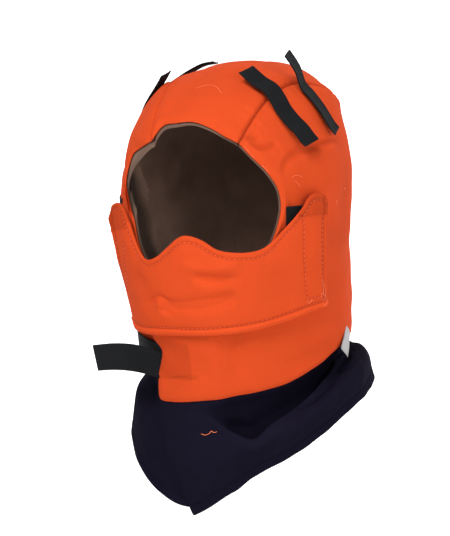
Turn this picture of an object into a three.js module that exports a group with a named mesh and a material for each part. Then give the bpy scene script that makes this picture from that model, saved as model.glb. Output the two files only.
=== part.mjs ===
// Winter liner for a hard hat: a padded hood with a face flap, throat closure, crown straps and cape.
// Millimetres, +Z up. The wearer faces -Y and +X is the wearer's left side.
// The origin is the inside of the crown, where the top of the head meets the lining.
import * as THREE from "three";

const { clamp, degToRad, lerp, smoothstep } = THREE.MathUtils;

// Cloth walls and the play left between pieces
const LINING_WALL = 2.4;
const LAYER_PLAY = 0.8;
const SHELL_WALL = 2.6;
const SEAM_PLAY = 0.6;
const SEAT_PLAY = 0.4;
const CAPE_PLAY = 1.7;
const TAPE_WALL = 1.2;
const FLAP_WALL = 4.0;
const CAPE_WALL = 1.2;
const LABEL_WALL = 0.8;

// Distances of the sewn layers from the lining's inner face
const SHELL_INNER = LINING_WALL + LAYER_PLAY;
const SHELL_OUTER = SHELL_INNER + SHELL_WALL;
const LOOP_INNER = SHELL_OUTER + SEAT_PLAY;
const HOOK_INNER = LOOP_INNER + TAPE_WALL + SEAT_PLAY;
const FLAP_SEAT = HOOK_INNER + TAPE_WALL + SEAT_PLAY;
const THROAT_LIFT = FLAP_SEAT + 0.4 - SHELL_INNER;

// The head's form: rounded crown above the widest section, then a tube of changing section.
// drop is measured down from the origin, sway is the section's shift to the wearer's left.
const WIDEST_DROP = 95;
const LOWEST_DROP = 300;
const HEART_DROP = 105;
const CROWN_SQUARENESS = 2.45;
const CROWN_LEAN = 24;
const HEAD_SECTIONS = [
  { drop: 0, halfWidth: 96, front: 116, back: 121.5, sway: 4.5 },
  { drop: 95, halfWidth: 92, front: 114, back: 120, sway: 1 },
  { drop: 150, halfWidth: 91.5, front: 113, back: 121, sway: 1.5 },
  { drop: 200, halfWidth: 88.3, front: 103, back: 123, sway: 5.7 },
  { drop: 240, halfWidth: 87, front: 93, back: 123, sway: 8 },
  { drop: 300, halfWidth: 84, front: 88, back: 120, sway: 10 },
];

// Seam between the crown strip and a side panel, from forehead to nape.
// middle is the level on the centre line beside it, below zero in front of the top.
const CROWN_SEAM = [
  { angle: 26, drop: 60, middle: -0.685 },
  { angle: 36.5, drop: 31, middle: -0.52 },
  { angle: 51, drop: 18.5, middle: -0.3 },
  { angle: 71, drop: 17, middle: -0.05 },
  { angle: 95, drop: 22.5, middle: 0.19 },
  { angle: 121, drop: 36, middle: 0.46 },
  { angle: 142, drop: 60, middle: 0.74 },
  { angle: 150, drop: 100, middle: 1.03 },
  { angle: 153, drop: 165, middle: 1.34 },
  { angle: 154, drop: 246, middle: 1.737 },
];
const SIDE_CORNER = 6;
const SEAM_END = CROWN_SEAM.length - 1;

// How far the crown strip's front edge is pulled down, from the right seam across to the left one
const FRONT_PULL = [
  { across: -1, pull: 0 },
  { across: -0.77, pull: -6 },
  { across: -0.44, pull: -1 },
  { across: 0, pull: 2 },
  { across: 0.3, pull: 4 },
  { across: 0.7, pull: 4 },
  { across: 1, pull: 0.5 },
];
const PULL_STATIONS = 1.6;

// Edge of the face opening, from the crown seam down to below the chin
const FACE_EDGE = [
  { angle: 26, drop: 60 },
  { angle: 36, drop: 73 },
  { angle: 43, drop: 84 },
  { angle: 47, drop: 100 },
  { angle: 46, drop: 119 },
  { angle: 39, drop: 144 },
  { angle: 26, drop: 168 },
  { angle: 8, drop: 184 },
];
const OPENING_MIDDLE_DROP = 115;
const LINING_PEEK = 0.015;

// Lower edge of the hood, where the cape is sewn on
const NECK_EDGE = [
  { angle: -40, drop: 281 },
  { angle: -20, drop: 279 },
  { angle: 2, drop: 272 },
  { angle: 24, drop: 266 },
  { angle: 44, drop: 259 },
  { angle: 60, drop: 250 },
  { angle: 76, drop: 241 },
  { angle: 92, drop: 237 },
  { angle: 112, drop: 238 },
  { angle: 140, drop: 243 },
  { angle: 154, drop: 246 },
  { angle: 180, drop: 246 },
];

// Front ends of the throat bands, as angles from the middle; the outer band runs past it
const THROAT_TOP = 194;
const THROAT_SHARE = 0.72;
const THROAT_ENDS = {
  left: { shell: -25, lining: 9 },
  right: { shell: -2, lining: -1 },
};
const THROAT_RAMP = { from: 20, to: 6 };

// Face flap: lines from its lower edge, at an angle, to its upper one, which leans forward of it.
// stand is how far the inner face lies from the lining; it falls off quickly below the upper edge.
const FLAP_ROWS = [
  { angle: -58, lean: 9, top: 126, bottom: 221, standTop: 17.5, standBottom: 7 },
  { angle: -55.5, lean: 10, top: 114, bottom: 221, standTop: 15.5, standBottom: 7 },
  { angle: -51.5, lean: 10, top: 112, bottom: 221, standTop: 12.5, standBottom: 7.5 },
  { angle: -47.5, lean: 11.5, top: 126, bottom: 221, standTop: 11, standBottom: 8.5 },
  { angle: -43, lean: 14, top: 138, bottom: 221, standTop: 10.5, standBottom: 9.5 },
  { angle: -36, lean: 16, top: 146, bottom: 221, standTop: 10.5, standBottom: 11.5 },
  { angle: -28, lean: 12, top: 152, bottom: 220, standTop: 11.5, standBottom: 13.4 },
  { angle: -20, lean: 8.5, top: 148, bottom: 218, standTop: 11.5, standBottom: 13.8 },
  { angle: -11, lean: 4.5, top: 141, bottom: 216, standTop: 12.5, standBottom: 13.8 },
  { angle: -3, lean: 2.5, top: 132.5, bottom: 215, standTop: 14, standBottom: 13.8 },
  { angle: 4, lean: 0, top: 130, bottom: 214, standTop: 14, standBottom: 13.8 },
  { angle: 10, lean: 0, top: 133, bottom: 213, standTop: 13, standBottom: 13.4 },
  { angle: 18, lean: 0, top: 141.5, bottom: 211.5, standTop: 12, standBottom: 12 },
  { angle: 30, lean: 0, top: 144, bottom: 209, standTop: 11, standBottom: 10 },
  { angle: 38, lean: 0, top: 140.5, bottom: 206.5, standTop: 10, standBottom: 9.6 },
  { angle: 47, lean: 0, top: 124, bottom: 203, standTop: 9.5, standBottom: 9.5 },
  { angle: 55.5, lean: 0, top: 105, bottom: 199.5, standTop: 9.5, standBottom: 9.5 },
  { angle: 62, lean: 0, top: 101, bottom: 198, standTop: 9.5, standBottom: 9.5 },
  { angle: 69.5, lean: 0, top: 107, bottom: 197, standTop: 9.5, standBottom: 9.5 },
];
const STAND_FALL = 0.6;

// Tape patches of the flap and throat, in angle and drop; hooks are counted along the flap's lower edge
const FLAP_LOOPS = {
  left: { from: 49, to: 64, top: 110, bottom: 190, columns: 4 },
  right: { from: -49, to: -64, top: 110, bottom: 160, columns: 4 },
};
const FLAP_HOOKS = {
  left: { from: 56.2, to: 66.6, top: 118, bottom: 187, columns: 4 },
  right: { from: -49, to: -56, top: 142, bottom: 205, columns: 4 },
};
const CLOSURE_LOOP = { from: -62, to: -5, top: 230, bottom: 260, columns: 14 };

// Closure tape: sewn along the throat, then standing free to the wearer's right
const CLOSURE_WIDTH = 23;
const CLOSURE_DROP = 249;
const CLOSURE_SEWN = [
  { angle: -7, stand: 0 },
  { angle: -13, stand: 0 },
  { angle: -19, stand: 0.1 },
  { angle: -25, stand: 0.4 },
];
const CLOSURE_FREE = [
  { x: -54, y: -92, rise: 4 },
  { x: -80, y: -82, rise: 1 },
  { x: -111, y: -66, rise: -7 },
];
const CLOSURE_SLANT = 8;

// Cape: how far each fold lies out from and below the neck seam, going round from the front edge.
// The last rows lie under the first ones.
const CAPE_ROWS = [
  { angle: -25, swing: 20, dipOut: 0, dipDrop: 25, rollOut: 4, rollDrop: 52, hemOut: -9, hemDrop: 98 },
  { angle: 6, swing: 10, dipOut: 1, dipDrop: 28, rollOut: 6, rollDrop: 50, hemOut: -5, hemDrop: 81 },
  { angle: 30, swing: 4, dipOut: -4, dipDrop: 29, rollOut: 9, rollDrop: 40, hemOut: 2, hemDrop: 68 },
  { angle: 60, swing: 1, dipOut: -6, dipDrop: 26, rollOut: 15, rollDrop: 29, hemOut: 12, hemDrop: 56 },
  { angle: 90, swing: 0, dipOut: -7, dipDrop: 20, rollOut: 18, rollDrop: 21, hemOut: 20, hemDrop: 47.5 },
  { angle: 120, swing: 0, dipOut: -5, dipDrop: 15, rollOut: 14, rollDrop: 18, hemOut: 23, hemDrop: 45 },
  { angle: 150, swing: 0, dipOut: -5, dipDrop: 20, rollOut: 14, rollDrop: 27, hemOut: 20, hemDrop: 64 },
  { angle: 185, swing: 0, dipOut: -3, dipDrop: 26, rollOut: 12, rollDrop: 42, hemOut: 18, hemDrop: 88 },
  { angle: 240, swing: 0, dipOut: -9, dipDrop: 24, rollOut: 6, rollDrop: 46, hemOut: 13, hemDrop: 86 },
  { angle: 300, swing: 2, dipOut: -10, dipDrop: 25, rollOut: 5, rollDrop: 52, hemOut: 9, hemDrop: 93 },
  { angle: 336, swing: 4, dipOut: -4, dipDrop: 26, rollOut: 2, rollDrop: 52, hemOut: -3, hemDrop: 105 },
  { angle: 357, swing: 4, dipOut: -1, dipDrop: 26, rollOut: -2, rollDrop: 50, hemOut: -13, hemDrop: 100 },
];
const CAPE_MIDDLE = SHELL_INNER + SHELL_WALL / 2;

// Crown straps: place on the crown, turn in the cloth and the line from the upper end to the lower one.
// along is measured in the cloth's tangent plane from the stitched place, rise out of that plane.
const STRAP_WIDTH = 16;
const STRAP_WALL = 1.6;
const STRAP_SEAT = 1.0;
const STRAP_STEPS = 20;
const STRAPS = [
  {
    name: "strap_front_left", angle: 44.4, drop: 32.6, turn: 28,
    line: [
      { along: -39.7, rise: -0.4 }, { along: -24.7, rise: 0.8 }, { along: -12, rise: 4.3 },
      { along: -2.4, rise: 2.5 }, { along: 6.9, rise: -0.8 }, { along: 19.5, rise: -1.2 },
      { along: 29.2, rise: -0.3 }, { along: 37.9, rise: -2 }, { along: 42.9, rise: -2.6 },
    ],
  },
  {
    name: "strap_rear_left", angle: 60, drop: 20, turn: -7,
    line: [
      { along: -22.5, rise: 18.1 }, { along: -15.1, rise: 14.6 }, { along: -8.3, rise: 10.7 },
      { along: -2.5, rise: 5.4 }, { along: 2, rise: 1.7 }, { along: 6.5, rise: 0.2 },
      { along: 12.2, rise: -0.9 }, { along: 25.3, rise: -4 }, { along: 41.5, rise: -9.5 },
      { along: 47.2, rise: -11.5 },
    ],
  },
  {
    name: "strap_front_right", angle: -63.3, drop: 20.3, turn: -6,
    line: [
      { along: -11, rise: 3.8 }, { along: -9.5, rise: 1.8 }, { along: -8, rise: 0.5 },
      { along: -6, rise: -0.2 }, { along: 6, rise: 0 }, { along: 14, rise: -1.2 },
      { along: 24, rise: -3.9 }, { along: 32, rise: -7.3 },
    ],
  },
  {
    name: "strap_rear_right", angle: -88.6, drop: 17.6, turn: 8,
    line: [
      { along: -38, rise: -4.6 }, { along: -28, rise: -1.7 }, { along: -16, rise: 0 },
      { along: -6, rise: 0.2 }, { along: 6, rise: -0.4 }, { along: 22, rise: -4.2 },
      { along: 40, rise: -12.7 }, { along: 54, rise: -23.3 },
    ],
  },
];

// Label at the neck seam
const LABEL = { from: 87, to: 99, top: 221, bottom: 246, stand: 6.6, flare: 4 };

const ORANGE = "#e8551f";
const BROWN = "#4a3a34";
const NAVY = "#1c1c2a";
const BLACK = "#26282a";
const WHITE = "#e9e9e6";

// A smooth curve through one column of a table, running along another
function column(rows, along, name) {
  const slope = (i) => {
    const before = rows[Math.max(i - 1, 0)];
    const after = rows[Math.min(i + 1, rows.length - 1)];
    return (after[name] - before[name]) / (after[along] - before[along]);
  };
  return (at) => {
    const place = clamp(at, rows[0][along], rows[rows.length - 1][along]);
    let i = 0;
    while (i < rows.length - 2 && rows[i + 1][along] < place) {
      i += 1;
    }
    const span = rows[i + 1][along] - rows[i][along];
    const t = (place - rows[i][along]) / span;
    const first = rows[i][name] * (1 + 2 * t) * (1 - t) ** 2;
    const second = rows[i + 1][name] * (3 - 2 * t) * t ** 2;
    const bend = slope(i) * t * (1 - t) ** 2 - slope(i + 1) * (1 - t) * t ** 2;
    return first + second + bend * span;
  };
}

const numbered = (rows) => rows.map((row, station) => ({ station, ...row }));
const section = Object.fromEntries(
  ["halfWidth", "front", "back", "sway"].map((name) => [name, column(HEAD_SECTIONS, "drop", name)]),
);
const seamTable = numbered(CROWN_SEAM);
const seam = Object.fromEntries(
  ["angle", "drop", "middle"].map((name) => [name, column(seamTable, "station", name)]),
);
const neckDrop = column(NECK_EDGE, "angle", "drop");
const frontPull = column(FRONT_PULL, "across", "pull");
const flapColumns = ["lean", "top", "bottom", "standTop", "standBottom"];
const flap = Object.fromEntries(flapColumns.map((name) => [name, column(FLAP_ROWS, "angle", name)]));
const capeColumns = ["swing", "dipOut", "dipDrop", "rollOut", "rollDrop", "hemOut", "hemDrop"];
const cape = Object.fromEntries(capeColumns.map((name) => [name, column(CAPE_ROWS, "angle", name)]));

// Level 0 is the top of the crown, 1 the widest section and 2 the lowest one.
function levelAt(drop) {
  if (drop >= WIDEST_DROP) {
    return 1 + (drop - WIDEST_DROP) / (LOWEST_DROP - WIDEST_DROP);
  }
  return Math.acos((1 - Math.max(drop, 0) / WIDEST_DROP) ** (CROWN_SQUARENESS / 2)) / (Math.PI / 2);
}

// A point on the lining's inner face; the angle runs from the front towards the wearer's left.
function head(angle, level) {
  const rise = (Math.min(level, 1) * Math.PI) / 2;
  const power = 2 / CROWN_SQUARENESS;
  const size = Math.max(Math.sin(rise), 0) ** power;
  const crownDrop = WIDEST_DROP * (1 - Math.max(Math.cos(rise), 0) ** power);
  const tubeDrop = WIDEST_DROP + (level - 1) * (LOWEST_DROP - WIDEST_DROP);
  const drop = level < 1 ? crownDrop : tubeDrop;
  const turn = degToRad(angle);
  const reach = Math.cos(turn) > 0 ? section.front(drop) : section.back(drop);
  return new THREE.Vector3(
    section.sway(drop) + size * section.halfWidth(drop) * Math.sin(turn),
    CROWN_LEAN * Math.max(Math.cos(rise), 0) - size * reach * Math.cos(turn),
    -drop,
  );
}

// Direction through the cloth, from the head's middle line outwards
function outward(point) {
  const heart = new THREE.Vector3(0, 0, Math.min(point.z, -HEART_DROP));
  return point.clone().sub(heart).normalize();
}

function raised(point, distance) {
  return point.clone().addScaledVector(outward(point), distance);
}

// A closed wall over a grid, from the functions that give its two faces
function wall(columns, rows, inner, outer) {
  const points = [];
  const index = [];
  const across = columns + 1;
  const layer = across * (rows + 1);
  for (const face of [inner, outer]) {
    for (let r = 0; r <= rows; r += 1) {
      for (let c = 0; c <= columns; c += 1) {
        points.push(...face(c / columns, r / rows).toArray());
      }
    }
  }
  const quad = (a, b, c, d) => index.push(a, b, c, a, c, d);
  for (let r = 0; r < rows; r += 1) {
    for (let c = 0; c < columns; c += 1) {
      const a = r * across + c;
      quad(a, a + across, a + across + 1, a + 1);
      quad(a + layer, a + layer + 1, a + layer + across + 1, a + layer + across);
    }
  }
  const rim = (a, b) => quad(a, b, b + layer, a + layer);
  const last = rows * across;
  for (let c = 0; c < columns; c += 1) {
    rim(c, c + 1);
    rim(last + c + 1, last + c);
  }
  for (let r = 0; r < rows; r += 1) {
    rim((r + 1) * across, r * across);
    rim(r * across + columns, (r + 1) * across + columns);
  }
  return facingOut(points, index);
}

function facingOut(points, index) {
  const corner = (i) => new THREE.Vector3().fromArray(points, 3 * index[i]);
  let volume = 0;
  for (let i = 0; i < index.length; i += 3) {
    volume += corner(i).dot(corner(i + 1).cross(corner(i + 2)));
  }
  const geometry = new THREE.BufferGeometry();
  geometry.setAttribute("position", new THREE.Float32BufferAttribute(points, 3));
  geometry.setIndex(volume < 0 ? [...index].reverse() : index);
  geometry.computeVertexNormals();
  return geometry;
}

// Crown strip

// A point of the crown seam; the lining's start is drawn a little into the face opening.
function seamPlace(station, peek) {
  const start = 1 - Math.min(station, 1);
  const drop = seam.drop(station);
  return {
    angle: seam.angle(station) * (1 - peek * start),
    level: levelAt(drop + peek * start * (OPENING_MIDDLE_DROP - drop)),
  };
}

function crownForm(across, station, peek) {
  const place = seamPlace(station, peek);
  const start = 1 - Math.min(station, 1);
  const middleLevel = seam.middle(station) - peek * start * 0.6;
  const left = head(place.angle, place.level);
  const right = head(-place.angle, place.level);
  const middle = head(middleLevel < 0 ? 0 : 180, Math.abs(middleLevel));
  const half = left.clone().sub(right).multiplyScalar(across / 2);
  const bow = left.clone().add(right).multiplyScalar(0.5).sub(middle).multiplyScalar(across ** 2);
  return middle.add(half).add(bow);
}

// The crown form with its front edge pulled along the strip, less and less away from that edge
function crownPoint(across, station, peek) {
  const near = Math.min(station, PULL_STATIONS);
  const step = 0.1;
  const ahead = crownForm(across, near + step, peek).sub(crownForm(across, near, peek)).normalize();
  const pull = frontPull(across) * (1 - near / PULL_STATIONS) ** 2;
  return crownForm(across, station, peek).addScaledVector(ahead, -pull);
}

function crownStrip(columns, rows, inner, outer, peek) {
  const corner = (2 / 3) * rows;
  const stationOf = (v) => {
    const row = v * rows;
    if (row <= corner) {
      return (SIDE_CORNER * row) / corner;
    }
    return lerp(SIDE_CORNER, SEAM_END, (row - corner) / (rows - corner));
  };
  const at = (u, v) => {
    const station = stationOf(v);
    const place = seamPlace(station, peek);
    const halfSpan = head(place.angle, place.level).x;
    return crownPoint(lerp(-1, 1, u) * (1 - SEAM_PLAY / halfSpan), station, peek);
  };
  return wall(columns, rows, (u, v) => raised(at(u, v), inner), (u, v) => raised(at(u, v), outer));
}

// Side panels

// The front edge runs round the face opening, along the throat's top and down the band's free end.
function frontEdge(throatEnd, peek) {
  const rows = FACE_EDGE.map((row) => ({
    angle: row.angle * (1 - peek),
    drop: row.drop + peek * (OPENING_MIDDLE_DROP - row.drop),
  }));
  const chin = rows[rows.length - 1];
  rows.push({ angle: Math.min(throatEnd, chin.angle - 1), drop: THROAT_TOP });
  const table = numbered(rows);
  const angle = column(table, "station", "angle");
  const drop = column(table, "station", "drop");
  const bottom = { angle: throatEnd, drop: neckDrop(throatEnd) };
  const top = rows[rows.length - 1];
  return (v) => {
    if (v <= THROAT_SHARE) {
      const station = (v / THROAT_SHARE) * (rows.length - 1);
      return { angle: angle(station), level: levelAt(drop(station)) };
    }
    const share = (v - THROAT_SHARE) / (1 - THROAT_SHARE);
    return {
      angle: lerp(top.angle, bottom.angle, share),
      level: levelAt(lerp(top.drop, bottom.drop, share)),
    };
  };
}

// A patch between the crown seam, the front edge, the neck edge and the back seam, in angle and level
function sidePatch(throatEnd, peek) {
  const front = frontEdge(throatEnd, peek);
  const backAngle = seam.angle(SEAM_END);
  const top = (u) => seamPlace(SIDE_CORNER * u, peek);
  const back = (v) => seamPlace(lerp(SIDE_CORNER, SEAM_END, v), peek);
  const neck = (u) => {
    const angle = lerp(throatEnd, backAngle, u);
    return { angle, level: levelAt(neckDrop(angle)) };
  };
  const blend = (u, v, name) => {
    const sides = (1 - v) * top(u)[name] + v * neck(u)[name];
    const ends = (1 - u) * front(v)[name] + u * back(v)[name];
    const firstRow = (1 - u) * top(0)[name] + u * top(1)[name];
    const lastRow = (1 - u) * neck(0)[name] + u * neck(1)[name];
    return sides + ends - (1 - v) * firstRow - v * lastRow;
  };
  return (u, v) => ({ angle: blend(u, v, "angle"), level: blend(u, v, "level") });
}

// The outer throat band rises over the tape and the band below it.
function throatLift(angle, level) {
  const below = smoothstep(level, levelAt(150), levelAt(178));
  return THROAT_LIFT * below * smoothstep(-angle, -THROAT_RAMP.from, -THROAT_RAMP.to);
}

function sidePanel(side, columns, rows, inner, outer, layer, peek) {
  const patch = sidePatch(THROAT_ENDS[side][layer], peek);
  const hand = side === "left" ? 1 : -1;
  const at = (u, v, distance) => {
    const { angle, level } = patch(u, v);
    const lift = side === "left" && layer === "shell" ? throatLift(angle, level) : 0;
    return raised(head(hand * angle, level), distance + lift);
  };
  return wall(columns, rows, (u, v) => at(u, v, inner), (u, v) => at(u, v, outer));
}

// Face flap and its tape

// A point of the flap on the line that starts at an angle of its lower edge
function flapPoint(start, down, distance) {
  const angle = start + flap.lean(start) * (1 - down);
  const drop = lerp(flap.top(start), flap.bottom(start), down);
  const stand = lerp(flap.standTop(start), flap.standBottom(start), down ** STAND_FALL);
  return raised(head(angle, levelAt(drop)), stand + distance);
}

function faceFlap(columns, rows) {
  const first = FLAP_ROWS[0].angle;
  const last = FLAP_ROWS[FLAP_ROWS.length - 1].angle;
  const at = (u, v, distance) => flapPoint(lerp(first, last, u), v, distance);
  return wall(columns, rows, (u, v) => at(u, v, 0), (u, v) => at(u, v, FLAP_WALL));
}

// A flat patch lying on the form between two angles and two drops
function patchOnForm(place, inner, outer) {
  const at = (u, v, distance) => {
    const drop = lerp(place.top, place.bottom, v);
    return raised(head(lerp(place.from, place.to, u), levelAt(drop)), distance);
  };
  return wall(place.columns, 5, (u, v) => at(u, v, inner), (u, v) => at(u, v, outer));
}

function patchOnFlap(place, inner, outer) {
  const at = (u, v, distance) => {
    const start = lerp(place.from, place.to, u);
    const drop = lerp(place.top, place.bottom, v);
    const down = (drop - flap.top(start)) / (flap.bottom(start) - flap.top(start));
    return flapPoint(start, down, distance);
  };
  return wall(place.columns, 5, (u, v) => at(u, v, inner), (u, v) => at(u, v, outer));
}

// Closure tape: each line along it runs on the throat first, then through the free points.
function closureTape() {
  const line = (v) => {
    const drop = CLOSURE_DROP + CLOSURE_WIDTH * (v - 0.5);
    const sewn = CLOSURE_SEWN.map(({ angle, stand }) => {
      return raised(head(angle, levelAt(drop)), HOOK_INNER + TAPE_WALL / 2 + stand);
    });
    const free = CLOSURE_FREE.map(({ x, y, rise }) => new THREE.Vector3(x, y, rise - drop));
    return new THREE.CatmullRomCurve3([...sewn, ...free]);
  };
  const rows = 2;
  const lines = Array.from({ length: rows + 1 }, (_, r) => line(r / rows));
  const at = (u, v, distance) => {
    const path = lines[Math.round(v * rows)];
    const along = path.getTangent(u);
    const through = new THREE.Vector3(along.y, -along.x, 0).normalize();
    const cut = CLOSURE_SLANT * v * smoothstep(u, 0.9, 1);
    return path.getPoint(u).addScaledVector(through, -distance).addScaledVector(along, -cut);
  };
  const half = TAPE_WALL / 2;
  return wall(18, rows, (u, v) => at(u, v, -half), (u, v) => at(u, v, half));
}

// Cape: at each angle a smooth line from the neck seam through a dip and a roll to the hem
function capeSheet(columns, rows) {
  const first = CAPE_ROWS[0].angle;
  const last = CAPE_ROWS[CAPE_ROWS.length - 1].angle;
  const lines = [];
  for (let c = 0; c <= columns; c += 1) {
    const angle = lerp(first, last, c / columns);
    lines.push({ angle, line: capeLine(angle) });
  }
  const at = (u, v, distance) => {
    const { angle, line } = lines[Math.round(u * columns)];
    const place = line.getPoint(v);
    const along = line.getTangent(v);
    const turned = angle + cape.swing(angle) * v ** 1.5;
    return capePoint(angle, turned, place.x + along.y * distance, place.y - along.x * distance);
  };
  return wall(columns, rows, (u, v) => at(u, v, -CAPE_WALL / 2), (u, v) => at(u, v, CAPE_WALL / 2));
}

function capeLine(angle) {
  return new THREE.CatmullRomCurve3([
    new THREE.Vector3(0, 0, 0),
    new THREE.Vector3(cape.dipOut(angle), cape.dipDrop(angle), 0),
    new THREE.Vector3(cape.rollOut(angle), cape.rollDrop(angle), 0),
    new THREE.Vector3(cape.hemOut(angle), cape.hemDrop(angle), 0),
  ]);
}

function capePoint(angle, turned, out, down) {
  const drop = neckDrop(angle > 180 ? 360 - angle : angle);
  const level = levelAt(drop);
  const start = raised(head(turned, level), CAPE_MIDDLE + throatLift(angle, level));
  const away = new THREE.Vector3(start.x, start.y, 0).normalize();
  return start.addScaledVector(away, out).add(new THREE.Vector3(0, 0, -CAPE_PLAY - down));
}

// Crown straps

// A strap lies in its own frame: X along it, Y across it and Z out of the cloth.
function strapGeometry(line) {
  const curve = new THREE.SplineCurve(line.map(({ along, rise }) => new THREE.Vector2(along, rise)));
  const lower = curve.getPoints(STRAP_STEPS);
  const upper = lower.map((point, i) => {
    const along = curve.getTangent(i / STRAP_STEPS);
    return new THREE.Vector2(point.x - along.y * STRAP_WALL, point.y + along.x * STRAP_WALL);
  });
  const profile = new THREE.Shape([...lower, ...upper.reverse()]);
  const geometry = new THREE.ExtrudeGeometry(profile, { depth: STRAP_WIDTH, bevelEnabled: false });
  geometry.translate(0, 0, -STRAP_WIDTH / 2);
  geometry.rotateX(Math.PI / 2);
  return geometry;
}

function addStrap(form) {
  const root = head(form.angle, levelAt(form.drop));
  const normal = outward(root);
  const hand = Math.sign(form.angle);
  const side = new THREE.Vector3(hand, 0, 0);
  const along = side.addScaledVector(normal, -side.dot(normal)).normalize();
  along.applyAxisAngle(normal, degToRad(-hand * form.turn));
  const across = normal.clone().cross(along);
  const mesh = add(form.name, strapGeometry(form.line), BLACK);
  mesh.quaternion.setFromRotationMatrix(new THREE.Matrix4().makeBasis(along, across, normal));
  mesh.position.copy(root).addScaledVector(normal, SHELL_OUTER + STRAP_SEAT);
}

// Label hanging over the neck seam
function labelSheet() {
  const at = (u, v, distance) => {
    const drop = lerp(LABEL.top, LABEL.bottom, v);
    const stand = LABEL.stand + LABEL.flare * v ** 2;
    return raised(head(lerp(LABEL.from, LABEL.to, u), levelAt(drop)), stand + distance);
  };
  return wall(2, 4, (u, v) => at(u, v, 0), (u, v) => at(u, v, LABEL_WALL));
}

function cloth(color) {
  return new THREE.MeshStandardMaterial({ color, roughness: 0.9 });
}

const liner = new THREE.Group();
liner.name = "hard_hat_liner";

function add(name, geometry, color) {
  const mesh = new THREE.Mesh(geometry, cloth(color));
  mesh.name = name;
  liner.add(mesh);
  return mesh;
}

add("crown_panel", crownStrip(10, 27, SHELL_INNER, SHELL_OUTER, 0), ORANGE);
add("lining_crown", crownStrip(8, 21, 0, LINING_WALL, LINING_PEEK), BROWN);
for (const side of ["left", "right"]) {
  add(`side_panel_${side}`, sidePanel(side, 18, 18, SHELL_INNER, SHELL_OUTER, "shell", 0), ORANGE);
  add(`lining_${side}`, sidePanel(side, 16, 16, 0, LINING_WALL, "lining", LINING_PEEK), BROWN);
  add(`flap_loop_${side}`, patchOnForm(FLAP_LOOPS[side], LOOP_INNER, LOOP_INNER + TAPE_WALL), BLACK);
  const hookOuter = -SEAT_PLAY;
  add(`flap_hook_${side}`, patchOnFlap(FLAP_HOOKS[side], hookOuter - TAPE_WALL, hookOuter), BLACK);
}
add("face_flap", faceFlap(28, 7), ORANGE);
add("closure_loop", patchOnForm(CLOSURE_LOOP, LOOP_INNER, LOOP_INNER + TAPE_WALL), BLACK);
add("closure_tape", closureTape(), BLACK);
add("cape", capeSheet(44, 9), NAVY);
STRAPS.forEach(addStrap);
add("label", labelSheet(), WHITE);

export default liner;
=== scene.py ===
"""Dresses the hard hat liner: padded cloth, lining, tape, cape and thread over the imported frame."""

import bpy
import numpy as np
from bpy.props import FloatProperty, FloatVectorProperty, PointerProperty
from mathutils import Matrix, Vector


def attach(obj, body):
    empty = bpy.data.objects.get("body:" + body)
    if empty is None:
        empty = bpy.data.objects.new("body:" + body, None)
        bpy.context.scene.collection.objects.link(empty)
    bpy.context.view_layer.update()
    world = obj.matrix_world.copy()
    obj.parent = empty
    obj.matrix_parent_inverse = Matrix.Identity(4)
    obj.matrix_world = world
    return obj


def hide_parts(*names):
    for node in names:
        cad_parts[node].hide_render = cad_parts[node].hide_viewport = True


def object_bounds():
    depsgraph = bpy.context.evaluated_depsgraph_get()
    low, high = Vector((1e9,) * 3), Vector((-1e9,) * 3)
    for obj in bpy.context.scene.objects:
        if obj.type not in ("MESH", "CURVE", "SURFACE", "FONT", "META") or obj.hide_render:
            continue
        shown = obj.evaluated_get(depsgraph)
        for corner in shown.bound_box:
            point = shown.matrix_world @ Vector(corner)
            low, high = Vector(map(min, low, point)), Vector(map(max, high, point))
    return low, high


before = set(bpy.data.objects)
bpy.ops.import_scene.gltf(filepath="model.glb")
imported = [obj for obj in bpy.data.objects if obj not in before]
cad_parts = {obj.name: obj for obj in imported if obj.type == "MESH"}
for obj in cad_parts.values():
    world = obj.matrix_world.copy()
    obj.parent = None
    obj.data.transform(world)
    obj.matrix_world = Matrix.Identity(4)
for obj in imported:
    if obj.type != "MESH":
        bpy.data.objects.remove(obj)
CAD_BOX = [list(corner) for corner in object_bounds()]

bl_info = {
    "name": "Hard Hat Liner",
    "version": (1, 0, 0),
    "blender": (4, 5, 0),
    "location": "View3D > Sidebar > Liner",
    "description": "Dresses the hard hat liner's frame in padded cloth, tape and thread",
    "category": "Object",
}

BODY = "root"

# Metres from the lowest point of the part down to the floor
FLOOR_GAP = 0.24

# Shapes are worked out in millimetres, with the wearer facing -Y and +X their left side.
MM = 0.001


def table(names, *rows):
    """A table of numbers, as one array for each named column."""
    return dict(zip(names.split(), np.array(rows, float).T))


def fold(path, width, height, lean=0):
    """One fold of the cloth: the places it runs through, half width, height and lean to one side."""
    return {"path": path, "width": width, "height": height, "lean": lean}


# Distances of the sewn layers from the lining's inner face
LINING_OUTER = 2.4
SHELL_INNER = 3.2
SHELL_OUTER = 5.8
LOOP_INNER = 6.2
TAPE_WALL = 1.2
HOOK_INNER = 7.8
THROAT_LIFT = 6.6
CAPE_MIDDLE = 4.5
CAPE_PLAY = 2.0
CAPE_TUCK = 2.3
SEAM_PLAY = 0.06

# The head's form: rounded crown above the widest section, then a tube of changing section
WIDEST_DROP = 95
LOWEST_DROP = 300
HEART_DROP = 105
CROWN_SQUARENESS = 2.45
CROWN_LEAN = 24
HEAD_SECTIONS = table(
    "drop half_width front back sway",
    (0, 98, 112, 119, 6),
    (50, 87.5, 113, 119.5, 1),
    (95, 92, 114, 120, 1),
    (150, 91, 113, 121, 2),
    (200, 88.3, 103, 123, 5.7),
    (240, 87, 93, 123, 8),
    (300, 84, 88, 120, 10),
)

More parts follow.
